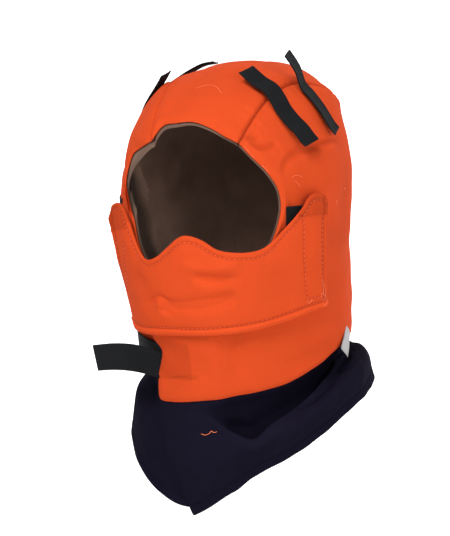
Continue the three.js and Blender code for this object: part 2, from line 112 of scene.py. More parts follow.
# Seam between the crown strip and a side panel, and the level of the centre line beside it
CROWN_SEAM = table(
    "angle drop middle",
    (26, 60, -0.685),
    (36.5, 31, -0.52),
    (51, 18.5, -0.3),
    (71, 17, -0.05),
    (95, 22.5, 0.19),
    (121, 36, 0.46),
    (142, 60, 0.74),
    (150, 100, 1.03),
    (153, 165, 1.34),
    (154, 246, 1.737),
)
SIDE_CORNER = 6
SEAM_END = 9
CORNER_SHARE = 2 / 3
MIDDLE_PEEK = 0.012
LINING_SHIFT = 4
SHIFT_STATIONS = (4, 6)

# Edges of the face opening, from the crown seam down to below the chin; peek is how far the lining shows
FACE_EDGES = {
    "left": table(
        "angle drop peek",
        (26, 60, 0.012),
        (33.7, 72, 0.012),
        (40.3, 83, 0.012),
        (45.7, 98, 0.012),
        (46.2, 117, 0.012),
        (40.5, 142, 0.012),
        (26, 168, 0.012),
        (8, 184, 0.012),
    ),
    "right": table(
        "angle drop peek",
        (26, 60, 0.06),
        (36.5, 67.5, 0.12),
        (43, 73, 0.15),
        (45, 83, 0.1),
        (46.5, 94, 0.05),
        (47, 105, 0.025),
        (42.5, 116.5, 0.02),
        (35.5, 124, 0.02),
        (32.5, 140, 0.02),
        (28.5, 154, 0.02),
        (21, 168, 0.012),
        (8, 184, 0.012),
    ),
}
OPENING_MIDDLE_DROP = 115

# Throat: its top, the share of a panel's front edge above that, the angles at which its layers end, and the
# angles and drops over which the left band rises over the tape
THROAT_TOP = 194
THROAT_SHARE = 0.72
THROAT_ENDS = {"left": {"shell": -25, "lining": 9}, "right": {"shell": -2, "lining": -1}}
THROAT_RAMP = (-20, -6)
THROAT_RISE = (150, 178)

# End of the left throat band: degrees by which its edge is moved, by share of the way down to the neck
THROAT_CORNER = table(
    "share turn",
    (0, -3.5),
    (0.3, -3.5),
    (0.36, -2.5),
    (0.46, 2.5),
    (0.6, 0.5),
    (0.75, -2.5),
    (1, -3.5),
)

# Lower edge of the hood, where the cape is sewn on
NECK_EDGE = table(
    "angle drop",
    (-40, 281),
    (-20, 279),
    (2, 272),
    (24, 266),
    (44, 259),
    (60, 250),
    (76, 241),
    (92, 237),
    (112, 238),
    (140, 242),
    (180, 246),
)

# Crown strip's front edge: how far it is pulled down, from the right seam across to the left one
FRONT_PULL = table("across pull", (-1, 0), (-0.77, -6), (-0.44, -1), (0, 2), (0.3, 4), (0.7, 4), (1, 0.5))
PULL_STATIONS = 1.6

# Face flap: lines from its lower edge to its upper one, which leans forward where the free end stands off
FLAP_ROWS = table(
    "angle lean top bottom stand_top stand_bottom",
    (-58, 9, 126, 221, 17.5, 7),
    (-55.5, 10, 114, 221, 15.5, 7),
    (-51.5, 13.5, 111.5, 221, 12.5, 7.5),
    (-47.5, 15, 123, 221, 11, 8.5),
    (-43, 14.5, 136.5, 221, 10.5, 9.5),
    (-36, 11.5, 147.5, 221, 10.5, 11.5),
    (-28, 8.5, 153, 220, 11.5, 13.4),
    (-20, 7, 149.5, 218, 11.5, 13.8),
    (-11, 4.5, 141, 216, 12.5, 13.8),
    (-3, 2.5, 132.5, 215, 14, 13.8),
    (4, 0, 130, 214, 14, 13.8),
    (10, 0, 133, 213, 13, 13.4),
    (18, 0, 141.5, 211.5, 12, 12),
    (30, 0, 144, 209, 11, 10),
    (38, 0, 140.5, 206.5, 10, 9.6),
    (47, 0, 126, 203, 9.5, 9.5),
    (52, 0, 117.5, 201, 9.5, 9.5),
    (55.5, 0, 111, 199.5, 9.5, 9.5),
    (58, 0, 105, 199, 9.5, 9.5),
    (60.5, 0, 101.3, 198.5, 9.5, 9.5),
    (64, 0, 100.8, 197.8, 9.5, 9.5),
    (67.5, 0, 102.5, 197.3, 9.5, 9.5),
    (69.5, 0, 106.5, 197, 9.5, 9.5),
)
STAND_FALL = 0.6
FLAP_WALL = 4.0

# Tape patches of the flap and throat: angles and drops of their edges
FLAP_LOOPS = {
    "left": {"from": 49, "to": 64, "top": 110, "bottom": 190},
    "right": {"from": -64, "to": -49, "top": 110, "bottom": 160},
}
HOOK_GAP = 0.4
CLOSURE_LOOP = {"from": -62, "to": -5, "top": 230, "bottom": 260}

# Closure tape: sewn along the throat, then standing free to the wearer's right
CLOSURE_WIDTH = 23
CLOSURE_DROP = 249
CLOSURE_SEWN = table("angle stand", (-7, 0), (-13, 0), (-19, 0.1), (-25, 0.4))
CLOSURE_FREE = table("x y rise", (-54, -92, 4), (-80, -82, 1), (-111, -66, -7))
CLOSURE_SLANT = 8

# Cape: how far each fold lies out from and below the neck seam, going round from the front edge
CAPE_ROWS = table(
    "angle swing dip_out dip_drop roll_out roll_drop hem_out hem_drop",
    (-28.5, 20.5, 0, 25, 4, 52, -9, 98),
    (6, 10, 1, 28, 6, 50, -5, 81),
    (30, 4, -4, 29, 9, 40, 2, 68),
    (60, 1, -6, 26, 15, 29, 12, 56),
    (90, 0, -7, 20, 18, 21, 20, 47.5),
    (120, 0, -5, 15, 14, 18, 23, 45),
    (150, 0, -5, 20, 14, 27, 20, 64),
    (185, 0, -3, 26, 12, 42, 18, 88),
    (240, 0, -9, 24, 6, 46, 13, 86),
    (300, 2, -12, 25, 5, 52, 9, 93),
    (336, 4, -4, 26, 2, 52, -3, 105),
    (357, 4, -1, 26, -2, 50, -13, 100),
)

# Cape fold: depth of the lip under the neck seam, and how far the cloth above it falls back
CAPE_LIP = table(
    "angle depth hollow",
    (-10, 12, 0),
    (2, 15, 0.4),
    (7, 21, 0.9),
    (14, 33, 1),
    (23.5, 45, 1),
    (32, 41.5, 1),
    (46, 35.5, 1),
    (63, 32, 1),
    (80, 28, 1),
    (95, 24, 0.7),
    (115, 20, 0),
)
HOLLOW_DEPTH = 4.5
LIP_RISE = 3.5

# Crown straps: place on the crown, turn in the cloth, how far the far edge rolls down with the crown,
# and the line from the upper end to the lower one
STRAP_WIDTH = 16
STRAP_WALL = 1.4
STRAP_SEAT = 1.0
STRAPS = {
    "strap_front_left": {
        "angle": 44.4, "drop": 32.6, "turn": 28, "roll": 0,
        "line": table(
            "along rise",
            (-39.7, 0.5), (-24.7, 1.8), (-12, 5.1), (-2.4, 3), (6.9, -1.1), (19.5, -3.1), (29.2, -3.1),
            (37.9, -4.8), (42.9, -5.2),
        ),
    },
    "strap_rear_left": {
        "angle": 60, "drop": 20, "turn": -7, "roll": 0,
        "line": table(
            "along rise",
            (-22.5, 18.5), (-15.1, 15.1), (-8.3, 11.2), (-2.5, 5.8), (2, 2), (6.5, 0.2), (12.2, -1.4),
            (25.3, -6.7), (41.5, -15.2), (47.2, -17.5),
        ),
    },
    "strap_front_right": {
        "angle": -63.3, "drop": 20.3, "turn": -6, "roll": 0,
        "line": table(
            "along rise",
            (-8, 6), (-2, 3.6), (6, 0.9), (14, -1.6), (24, -5.3), (32, -9.4),
        ),
    },
    "strap_rear_right": {
        "angle": -88.6, "drop": 17.6, "turn": 3, "roll": 1.5,
        "line": table(
            "along rise",
            (-38, -6.4), (-28, -2.2), (-16, -0.7), (-6, -0.5), (6, -1), (22, -6), (40, -16.2), (54, -26.5),
        ),
    },
}

# Label: angles and drops of its upper two corners and its lower two, and how it stands off the cloth
LABEL_CORNERS = {"angle": (93, 101, 82, 90), "drop": (224, 235, 239, 250)}
LABEL_STAND = 6.6
LABEL_FLARE = 3.0
LABEL_WALL = 0.8
LABEL_CURL = 0.5
LABEL_TURNS = (5, 4)
LABEL_GRID = (16, 40)

# Millimetres of cloth for one degree round the head, on the flat charts that place folds and threads
CHART = 1.75

# Folds of each piece, at places of angle and drop; on the cape, of angle and length from the neck seam
LEFT_FOLDS = [
    fold([(25.5, 57), (30, 56), (36.5, 57.5)], width=2.0, height=-2.4, lean=0.3),
    fold([(31, 58.5), (38.4, 63.9), (46, 61)], width=2.4, height=-2.8, lean=0.5),
    fold([(32, 66), (38, 69), (46, 66)], width=5, height=1.1),
    fold([(47, 85), (49, 75), (53.8, 69.3), (65, 65), (88, 62)], width=3, height=-3.0, lean=0.6),
    fold([(52, 82), (58, 75), (72, 71), (88, 68)], width=9, height=1.4),
    fold([(50, 104), (52, 118), (49, 137)], width=2.0, height=-1.3),
    fold([(96, 80), (92, 120), (94, 180)], width=14, height=-1.4),
    fold([(78, 228), (60, 238), (36, 246)], width=8, height=-1.2),
]
RIGHT_FOLDS = [
    fold([(30, 61), (37, 64), (46, 60)], width=3, height=-1.0, lean=0.4),
    fold([(48, 92), (60, 84), (82, 80)], width=5, height=-1.2, lean=0.4),
    fold([(70, 150), (92, 170), (120, 172)], width=7, height=-1.2, lean=0.3),
    fold([(88, 222), (70, 236), (40, 246)], width=7, height=-1.0),
]
LINING_FOLDS = {
    "left": [fold([(110, 70), (104, 120), (108, 170)], width=12, height=3)],
    "right": [
        fold([(74, 76), (80, 90), (85, 112), (86.5, 130), (91, 143), (95, 160)], width=4, height=9),
        fold([(112, 70), (108, 110), (112, 165)], width=13, height=4),
    ],
}
FLAP_FOLDS = [
    fold([(5, 162), (15, 165), (26, 163.5)], width=4.5, height=-2.6, lean=0.4),
    fold([(0, 154), (13, 156.5), (28, 152)], width=5, height=1.6),
    fold([(-15, 189), (-6, 188.5), (4, 186.5), (14, 183), (24, 177)], width=6, height=-3.2, lean=0.4),
    fold([(-21, 191), (-17, 184.5), (-13, 182.5), (-8, 187)], width=2.4, height=-1.6, lean=0.4),
    fold([(-16, 194), (-12, 195), (-8, 197)], width=2.2, height=-0.9),
    fold([(-17, 190), (-13, 190)], width=4, height=0.9),
    fold([(-30, 165), (-22, 180), (-24, 200)], width=8, height=-1.6),
    fold([(40, 160), (44, 178), (50, 190)], width=8, height=-1.0),
]
CAPE_FOLDS = [
    fold([(2, 12), (16, 22), (28, 28)], width=7, height=2.0),
    fold([(10, 24), (22, 34), (32, 40)], width=5, height=-2.5),
    fold([(96, 6), (90, 22), (84, 40)], width=5, height=3.0),
    fold([(200, 8), (206, 50), (204, 90)], width=12, height=4.0),
    fold([(232, 20), (228, 60), (230, 84)], width=10, height=-4.0),
    fold([(160, 20), (166, 60)], width=10, height=3.5),
]


# Curves and forms

def blend(start, end, share):
    """The straight way from start to end."""
    return start + (end - start) * share


def ease(value, low, high):
    """Zero below low, one above high and an S-shaped cubic between them."""
    share = np.clip((value - low) / (high - low), 0, 1)
    return share * share * (3 - 2 * share)


def between(value, start, full, last, end):
    """One from full to last, falling to zero at start and at end."""
    return ease(value, start, full) * (1 - ease(value, last, end))


def bell(distance, width):
    """A bell-shaped bump of height one."""
    return np.exp(-((distance / width) ** 2))


def curve(places, values):
    """A curve through values at rising places: cubic pieces, each slope that between the neighbours."""
    places = np.asarray(places, float)
    values = np.asarray(values, float)
    number = np.arange(len(places))
    before = np.maximum(number - 1, 0)
    after = np.minimum(number + 1, number[-1])
    slope = (values[after] - values[before]) / (places[after] - places[before])

    def at(place):
        place = np.clip(place, places[0], places[-1])
        i = np.clip(np.searchsorted(places, place) - 1, 0, len(places) - 2)
        span = places[i + 1] - places[i]
        t = (place - places[i]) / span
        ends = values[i] * (1 + 2 * t) * (1 - t) ** 2 + values[i + 1] * (3 - 2 * t) * t**2
        bend = slope[i] * t * (1 - t) ** 2 - slope[i + 1] * (1 - t) * t**2
        return ends + bend * span

    return at


def columns_of(rows, along):
    """A curve for each column of a table, running along one of them."""
    return {name: curve(rows[along], values) for name, values in rows.items() if name != along}


def smooth_line(points, count):
    """Count points on a smooth line through a few, spaced by its chords."""
    points = np.asarray(points, float)
    chords = np.linalg.norm(np.diff(points, axis=0), axis=1)
    places = np.concatenate([[0], np.cumsum(chords)])
    steps = np.linspace(0, places[-1], count)
    return np.stack([curve(places, column)(steps) for column in points.T], axis=-1)


# Lines shorter than this count as this long where a surface is drawn in from its edges
SHORTEST_LINE = 40.0

SECTION = columns_of(HEAD_SECTIONS, "drop")
SEAM = columns_of({"station": np.arange(SEAM_END + 1), **CROWN_SEAM}, "station")
NECK = columns_of(NECK_EDGE, "angle")
FLAP = columns_of(FLAP_ROWS, "angle")
CAPE = columns_of(CAPE_ROWS, "angle")
LIP = columns_of(CAPE_LIP, "angle")
CORNER = columns_of(THROAT_CORNER, "share")
PULL = columns_of(FRONT_PULL, "across")


def level_at(drop):
    """Level on the form at a drop: 0 at the crown's top, 1 at the widest section, 2 at the lowest."""
    share = np.clip(1 - np.asarray(drop, float) / WIDEST_DROP, 0, 1)
    crown = np.arccos(share ** (CROWN_SQUARENESS / 2)) / (np.pi / 2)
    tube = 1 + (drop - WIDEST_DROP) / (LOWEST_DROP - WIDEST_DROP)
    return np.where(drop >= WIDEST_DROP, tube, crown)


def head(angle, level):
    """Points of the lining's inner face: a squared dome over ellipses whose half axes change with drop."""
    angle, level = np.broadcast_arrays(np.asarray(angle, float), np.asarray(level, float))
    rise = np.minimum(level, 1) * np.pi / 2
    power = 2 / CROWN_SQUARENESS
    size = np.maximum(np.sin(rise), 0) ** power
    upright = np.maximum(np.cos(rise), 0)
    dome_drop = WIDEST_DROP * (1 - upright**power)
    drop = np.where(level < 1, dome_drop, WIDEST_DROP + (level - 1) * (LOWEST_DROP - WIDEST_DROP))
    turn = np.radians(angle)
    reach = np.where(np.cos(turn) > 0, SECTION["front"](drop), SECTION["back"](drop))
    across = SECTION["sway"](drop) + size * SECTION["half_width"](drop) * np.sin(turn)
    return np.stack([across, CROWN_LEAN * upright - size * reach * np.cos(turn), -drop], axis=-1)


def unit(vectors):
    """The vectors at length one."""
    return vectors / np.linalg.norm(vectors, axis=-1, keepdims=True)


def outward(points):
    """Directions through the cloth, from the head's middle line outwards."""
    heart = np.zeros_like(points)
    heart[..., 2] = np.minimum(points[..., 2], -HEART_DROP)
    return unit(points - heart)


def raised(points, distance):
    """Points moved outwards by a distance."""
    return points + outward(points) * np.asarray(distance, float)[..., None]


def grid(columns, rows):
    """The two parameters of a surface, from 0 to 1 across its columns and down its rows."""
    return np.meshgrid(np.linspace(0, 1, columns + 1), np.linspace(0, 1, rows + 1))


def inset_grid(columns, rows, surface, inset):
    """The two parameters of a surface, drawn in at every edge by a length measured along the surface."""
    across, down = grid(columns, rows)
    points = surface(across, down)
    across_step = np.linalg.norm(np.diff(points, axis=1), axis=-1) * columns
    down_step = np.linalg.norm(np.diff(points, axis=0), axis=-1) * rows
    left, right = (inset / np.maximum(across_step[:, [edge]], SHORTEST_LINE) for edge in (0, -1))
    upper, lower = (inset / np.maximum(down_step[[edge]], SHORTEST_LINE) for edge in (0, -1))
    return blend(left, 1 - right, across), blend(upper, 1 - lower, down)


def travelled(points, axis):
    """Length along the lines of a grid, from their first points."""
    steps = np.linalg.norm(np.diff(points, axis=axis), axis=-1)
    start = np.zeros_like(np.take(steps, [0], axis=axis))
    return np.concatenate([start, np.cumsum(steps, axis=axis)], axis=axis)


def normals(points):
    """Unit normals of a grid, from its differences both ways."""
    return unit(np.cross(np.gradient(points, axis=1), np.gradient(points, axis=0)))


# Relief of the cloth

WAVES = 9
WAVE_SPREAD = (0.7, 1.6)
PATH_STEPS = 4
STITCH_GROOVE = 0.9
DEEPEST = -1.9

# Seams: a dip, the padding's puff beside it and puckers, with painted shade along the dip; the crown's
# right seam is drawn tight, with less painted shade
SEAM_DIP = 1.5
SEAM_WIDTH = 1.3
SEAM_SHADE = 0.3
TIGHT_WIDTH = 0.9
TIGHT_SHADE = 0.05
SHADE_WIDTH = 0.7
SEAM_PUFF = 0.8
PUFF_PLACE = 9
PUFF_WIDTH = 7
PUCKER_HEIGHT = 0.3
PUCKER_LENGTH = 11
PUCKER_SHARES = (0.7, 1.0, 1.6)
PUCKER_START = 5
PUCKER_REACH = 7

# Front edges of the panels, drawn in where they are turned under
EDGE_DIP = 1.3
EDGE_WIDTH = 2.5
EDGE_START = 3
EDGE_PUFF_WIDTH = 4


def ripple(points, length, seed):
    """A soft swell of about -1 to 1: sines in seeded directions, each near the given wave length."""
    draw = np.random.default_rng(seed)
    ways = unit(draw.normal(size=(WAVES, 3)))
    lengths = length * draw.uniform(*WAVE_SPREAD, WAVES)
    phases = draw.uniform(0, 2 * np.pi, WAVES)
    turns = 2 * np.pi * points @ (ways / lengths[:, None]).T + phases
    return np.sin(turns).sum(axis=-1) / np.sqrt(WAVES)


def swells(points, waves):
    """Several swells added up, each given by its height, wave length and seed."""
    return sum(height * ripple(points, length, seed) for height, length, seed in waves)


def weighted(marks, weights):
    """Named marks added up, each times its weight."""
    return sum(weights[name] * mark for name, mark in marks.items())


def along_path(path, x, y):
    """Signed distance from a smooth line on a chart, and how far along the line the nearest place is."""
    points = smooth_line(np.array(path, float), PATH_STEPS * len(path))
    nearest = np.full(x.shape, np.inf)
    side = np.zeros(x.shape)
    place = np.zeros(x.shape)
    pieces = len(points) - 1
    for number in range(pieces):
        start = points[number]
        way = points[number + 1] - start
        share = np.clip(((x - start[0]) * way[0] + (y - start[1]) * way[1]) / (way @ way), 0, 1)
        off_x = x - start[0] - share * way[0]
        off_y = y - start[1] - share * way[1]
        distance = np.hypot(off_x, off_y)
        closer = distance < nearest
        side = np.where(closer, np.sign(way[0] * off_y - way[1] * off_x) * distance, side)
        place = np.where(closer, (number + share) / pieces, place)
        nearest = np.minimum(nearest, distance)
    return side, place


def folds(rows, angle, drop):
    """Height of folds on a chart: each a bell across its line, leaning to a side, fading at both ends."""
    height = np.zeros(np.shape(angle))
    for row in rows:
        path = [(CHART * place[0], place[1]) for place in row["path"]]
        side, place = along_path(path, CHART * angle, drop)
        across = side / row["width"]
        fade = 1 - (2 * place - 1) ** 4
        height += row["height"] * (1 + row["lean"] * across) * np.exp(-(across**2)) * fade
    return height


def seam_relief(distance, along, seed, width=SEAM_WIDTH):
    """A sewn seam: a narrow dip, padding that swells beside it, and puckers between the two."""
    dip = SEAM_PUFF * bell(distance - PUFF_PLACE, PUFF_WIDTH) - SEAM_DIP * bell(distance, width)
    draw = np.random.default_rng(seed)
    waves = sum(
        np.sin(2 * np.pi * along / (PUCKER_LENGTH * share) + draw.uniform(0, 2 * np.pi))
        for share in PUCKER_SHARES
    )
    fade = ease(distance, 0, PUCKER_START) * np.exp(-distance / PUCKER_REACH)
    return dip + PUCKER_HEIGHT * waves * fade


def panel_relief(swell, from_front, from_seam, start):
    """A panel's swell, fading out at its seams and at its front edge, which is drawn in."""
    faded = swell * ease(np.minimum(from_seam, from_front), 0, start)
    return faded - EDGE_DIP * bell(from_front, EDGE_WIDTH) * ease(from_seam, 0, EDGE_START)


def groove(distance, width=STITCH_GROOVE):
    """Share of a stitched groove at a distance from its line."""
    return bell(distance, width)


# Meshes

RIM_TURNS = np.radians([45, 90, 135])


def quads_of(rows, columns):
    """The quads of a grid of vertices, in rows."""
    number = np.arange(rows * columns).reshape(rows, columns)
    corners = [number[:-1, :-1], number[:-1, 1:], number[1:, 1:], number[1:, :-1]]
    return np.stack(corners, axis=-1).reshape(-1, 4)


def cloth_wall(outer, inner):
    """A closed wall between two grids, with a half-round rim carried along their border."""
    rows, columns = outer.shape[:2]
    number = np.arange(rows * columns).reshape(rows, columns)
    border = np.concatenate([number[0, :-1], number[:-1, -1], number[-1, :0:-1], number[:0:-1, 0]])
    inside = number[np.clip(border // columns, 1, rows - 2), np.clip(border % columns, 1, columns - 2)]
    outer = outer.reshape(-1, 3)
    inner = inner.reshape(-1, 3)
    middle = (outer[border] + inner[border]) / 2
    half = (outer[border] - inner[border]) / 2
    away = outer[border] + inner[border] - outer[inside] - inner[inside]
    away -= unit(half) * np.sum(away * unit(half), axis=-1, keepdims=True)
    bulge = unit(away) * np.linalg.norm(half, axis=-1, keepdims=True)
    rims = [middle + np.cos(turn) * half + np.sin(turn) * bulge for turn in RIM_TURNS]
    layer = rows * columns
    face = quads_of(rows, columns)
    rings = [border]
    for step in range(len(rims)):
        rings.append(2 * layer + step * len(border) + np.arange(len(border)))
    rings.append(border + layer)
    strips = [
        np.stack([np.roll(first, -1), first, second, np.roll(second, -1)], axis=-1)
        for first, second in zip(rings[:-1], rings[1:])
    ]
    points = np.concatenate([outer, inner, *rims])
    quads = np.concatenate([face, face[:, ::-1] + layer, *strips])
    source = np.concatenate([np.arange(layer), np.arange(layer), *[border] * len(rims)])
    return points, quads, source


def quad_object(name, points, quads, chart=None, marks=None, closed=True):
    """A smooth object from points in millimetres and quads, turned to face out, with a UV map and marks."""
    a, b, c, d = (points[quads[:, corner]] for corner in range(4))
    volume = np.sum(a * np.cross(b, c)) + np.sum(a * np.cross(c, d))
    if closed and volume < 0:
        quads = quads[:, ::-1]
    mesh = bpy.data.meshes.new(name)
    mesh.vertices.add(len(points))
    mesh.vertices.foreach_set("co", (points * MM).ravel())
    mesh.loops.add(quads.size)
    mesh.loops.foreach_set("vertex_index", np.ascontiguousarray(quads, np.int32).ravel())
    mesh.polygons.add(len(quads))
    mesh.polygons.foreach_set("loop_start", np.arange(0, quads.size, 4, dtype=np.int32))
    mesh.polygons.foreach_set("use_smooth", np.ones(len(quads), bool))
    if chart is not None:
        layer = mesh.uv_layers.new(name="chart")
        layer.data.foreach_set("uv", chart[quads.ravel()].ravel())
    for mark, values in (marks or {}).items():
        attribute = mesh.attributes.new(mark, "FLOAT", "POINT")
        attribute.data.foreach_set("value", np.ascontiguousarray(values, np.float32))
    mesh.update(calc_edges=True)
    mesh.validate()
    made = bpy.data.objects.new(name, mesh)
    bpy.context.scene.collection.objects.link(made)
    return made


def cloth_object(name, outer, inner, chart, marks=None):
    """A closed cloth wall as an object; chart holds millimetres of cloth and marks painted values."""
    points, quads, source = cloth_wall(outer, inner)
    flat = np.stack(chart, axis=-1).reshape(-1, 2)[source]
    painted = {mark: np.ravel(values)[source] for mark, values in (marks or {}).items()}
    return quad_object(name, points, quads, flat, painted)


def dress(made, finish, node=None):
    """Gives a piece its finish and its place on the body, and hides the solid that it stands for."""
    made.data.materials.append(finish)
    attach(made, BODY)
    if node:
        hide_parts(node)
    return made


# Thread

STITCH_SECTION = np.array([(1, 1), (-1, 1), (-1, -1), (1, -1)]) * np.sqrt(0.5)
STITCH_RINGS = np.array([(-1.0, 0.35), (-0.75, 0.8), (0.0, 1.0), (0.75, 0.8), (1.0, 0.35)])
STITCH_HALF_STEP = 0.4

# Loose ends of thread: a way that none of them runs, how they thin at their ends and how they lie
THREAD_ASIDE = np.array([0.3, 0.2, 0.93])
THREAD_TAPER = 0.6
THREAD_POINTS = 14
THREAD_LIFT = 0.25
THREAD_THICKNESS = 0.5
CLOTH_REACH = 1.3
LEAST_WEIGHT = 1e-12


def tube_quads(rings):
    """The quads of one closed tube of four sides: bands between rings, then a cap at each end."""
    number = np.arange(4 * rings).reshape(rings, 4)
    after = np.roll(number, -1, axis=1)
    bands = np.stack([number[:-1], after[:-1], after[1:], number[1:]], axis=-1).reshape(-1, 4)
    return np.concatenate([bands, number[:1, ::-1], number[-1:]])


def stitch_beads(line, up, length, gap, thickness):
    """Short beads laid along a line: a square section with soft ends, in the frame of line and cloth."""
    run = np.concatenate([[0], np.cumsum(np.linalg.norm(np.diff(line, axis=0), axis=1))])
    middles = np.arange(length / 2, run[-1], length + gap)

    def at(places, values):
        return np.stack([np.interp(places, run, column) for column in values.T], axis=-1)

    spot = at(middles, line)
    along = unit(at(middles + STITCH_HALF_STEP, line) - at(middles - STITCH_HALF_STEP, line))
    side = unit(np.cross(at(middles, up), along))
    above = np.cross(along, side)
    ends = STITCH_RINGS[:, 0, None] * np.ones(4) * length / 2
    wide = STITCH_RINGS[:, 1, None] * STITCH_SECTION[:, 0] * thickness / 2
    high = STITCH_RINGS[:, 1, None] * STITCH_SECTION[:, 1] * thickness / 2
    local = np.stack([ends, wide, high], axis=-1).reshape(-1, 3)
    frames = np.stack([along, side, above], axis=1)
    points = spot[:, None, :] + local @ frames
    single = tube_quads(len(STITCH_RINGS))
    first = len(local) * np.arange(len(spot))
    quads = first[:, None, None] + single
    return points.reshape(-1, 3), quads.reshape(-1, 4)


def thread_tube(line, thickness):
    """A thin thread: a square section carried along a line, thinner at both ends."""
    along = unit(np.gradient(line, axis=0))
    side = unit(np.cross(along, THREAD_ASIDE))
    above = np.cross(along, side)
    share = np.linspace(-1, 1, len(line))
    radius = thickness / 2 * (1 - THREAD_TAPER * share**8)
    wide, high = STITCH_SECTION.T[..., None]
    ring = wide * side[:, None, :] + high * above[:, None, :]
    points = line[:, None, :] + ring * radius[:, None, None]
    return points.reshape(-1, 3), tube_quads(len(line))


def joined(parts):
    """Several shapes of points and quads as one."""
    counts = np.cumsum([0] + [len(points) for points, _ in parts[:-1]])
    points = np.concatenate([points for points, _ in parts])
    quads = np.concatenate([quads + first for (_, quads), first in zip(parts, counts)])
    return points, quads


def on_cloth(path, count, chart, cloth, lift):
    """Points over a line on a chart: means of the cloth, in which the nearest counts most."""
    places = smooth_line(np.array(path, float) * (CHART, 1), count)
    x = CHART * chart[0].ravel()
    y = chart[1].ravel()
    near = (places[:, 0, None] - x) ** 2 + (places[:, 1, None] - y) ** 2
    weight = np.exp(-near / (2 * CLOTH_REACH**2)) + LEAST_WEIGHT
    weight /= weight.sum(axis=1, keepdims=True)
    spot = weight @ cloth.reshape(-1, 3)
    return spot + outward(spot) * lift


def loose_threads(paths, chart, cloth):
    """Loose ends of thread, close over the cloth."""
    lines = [on_cloth(path, THREAD_POINTS, chart, cloth, THREAD_LIFT) for path in paths]
    return joined([thread_tube(line, THREAD_THICKNESS) for line in lines])


# Finishes

class Value:
    """A shader socket in an expression: each operator adds one Math node."""

    def __init__(self, finish, socket):
        self.finish = finish
        self.socket = socket

    def math(self, operation, *values):
        inputs = dict(enumerate(values))
        return self.finish.node("ShaderNodeMath", {"operation": operation}, inputs)

    def __add__(self, other):
        return self.math("ADD", self, other)

    def __sub__(self, other):
        return self.math("SUBTRACT", self, other)

    def __rsub__(self, other):
        return self.math("SUBTRACT", other, self)

    def __mul__(self, other):
        return self.math("MULTIPLY", self, other)

    def wave(self):
        return self.math("SINE", self)

    __radd__ = __add__
    __rmul__ = __mul__


class Finish:
    """One material whose nodes are made by calls; what varies feeds the shader's sockets."""

    def __init__(self, name):
        self.material = bpy.data.materials.new(name)
        self.material.use_nodes = True
        self.tree = self.material.node_tree
        self.tree.nodes.clear()

    def feed(self, socket, value):
        if isinstance(value, Value):
            self.tree.links.new(value.socket, socket)
        else:
            socket.default_value = value

    def node(self, kind, settings=None, inputs=None, output=0):
        made = self.tree.nodes.new(kind)
        for name, value in (settings or {}).items():
            setattr(made, name, value)
        for name, value in (inputs or {}).items():
            self.feed(made.inputs[name], value)
        return Value(self, made.outputs[output])

    def chart(self):
        """Millimetres across and along the cloth, from its UV map."""
        place = self.node("ShaderNodeUVMap", {"uv_map": "chart"})
        return [
            self.node("ShaderNodeSeparateXYZ", None, {0: place}, output=axis)
            for axis in ("X", "Y")
        ]

    def mark(self, name):
        return self.node("ShaderNodeAttribute", {"attribute_name": name}, output="Fac")

    def noise(self, grain, detail):
        """Cloudy noise of 0 to 1 whose spots are about grain metres wide."""
        place = self.node("ShaderNodeTexCoord", output="Object")
        inputs = {"Vector": place, "Scale": 1 / grain, "Detail": detail}
        return self.node("ShaderNodeTexNoise", None, inputs, output="Fac")

    def dyed(self, share, colour, spread):
        """A colour from darker to brighter by the spread, as the share goes from 0 to 1."""
        return self.mix(share, rgba(colour, 1 - spread), rgba(colour, 1 + spread))

    def with_painted_light(self, colour):
        """A colour times the tone that is painted on the cloth, which carries painted shade and painted
        highlights.
        """
        return self.mix(1.0, colour, self.mark("tone"), "MULTIPLY")

    def mix(self, share, first, second, how="MIX"):
        settings = {"data_type": "RGBA", "blend_type": how, "clamp_factor": True}
        return self.node("ShaderNodeMix", settings, {0: share, 6: first, 7: second}, output=2)

    def bump(self, height, distance, strength):
        inputs = {"Height": height, "Distance": distance, "Strength": strength}
        return self.node("ShaderNodeBump", None, inputs)

    def shade(self, sockets):
        shader = self.node("ShaderNodeBsdfPrincipled", None, sockets)
        surface = self.tree.nodes.new("ShaderNodeOutputMaterial")
        self.feed(surface.inputs["Surface"], shader)
        return self.material


def rgba(colour, factor=1.0):
    """A colour with its brightness changed, as a socket takes it."""
    return (colour[0] * factor, colour[1] * factor, colour[2] * factor, 1.0)


def twill(finish, pitch):
    """Height of a twill weave: slanting ribs of yarn, each crossed by finer turns of the other yarn."""
    across, along = finish.chart()
    rib = ((across + along) * (2 * np.pi / pitch)).wave()
    turn = ((across - along) * (4 * np.pi / pitch)).wave()
    return rib * 0.5 + turn * 0.25


def woven_cloth(name, colour, pitch, roughness, sheen, gloss):
    """Dyed cotton: clouded colour, darker in the seams by painted shade and lighter by painted highlights,
    with slubs and a twill weave.
    """
    finish = Finish(name)
    cloud = finish.noise(grain=0.035, detail=4.0)
    slub = finish.noise(grain=0.0022, detail=2.0)
    mottle = cloud * 0.7 + slub * 0.3
    height = twill(finish, pitch) * 0.5 + slub
    return finish.shade({
        "Base Color": finish.with_painted_light(finish.dyed(mottle, colour, spread=0.14)),
        "Roughness": roughness + (slub - 0.5) * 0.2,
        "Normal": finish.bump(height, distance=0.00018, strength=0.6),
        "Sheen Weight": sheen,
        "Sheen Roughness": 0.5,
        "Sheen Tint": rgba(colour, 1.2),
        "Specular IOR Level": gloss,
    })


def lining_cloth(name, colour, pitch):
    """Brushed lining: clouded khaki brown with a short nap, times a tone of painted shade and highlights.
    """
    finish = Finish(name)
    cloud = finish.noise(grain=0.02, detail=4.0)
    nap = finish.noise(grain=0.0015, detail=3.0)
    height = nap + twill(finish, pitch) * 0.3
    return finish.shade({
        "Base Color": finish.with_painted_light(finish.dyed(cloud, colour, spread=0.2)),
        "Roughness": 0.85 + (nap - 0.5) * 0.2,
        "Normal": finish.bump(height, distance=0.0002, strength=0.6),
        "Sheen Weight": 0.02,
        "Sheen Roughness": 0.6,
        "Specular IOR Level": 0.05,
    })


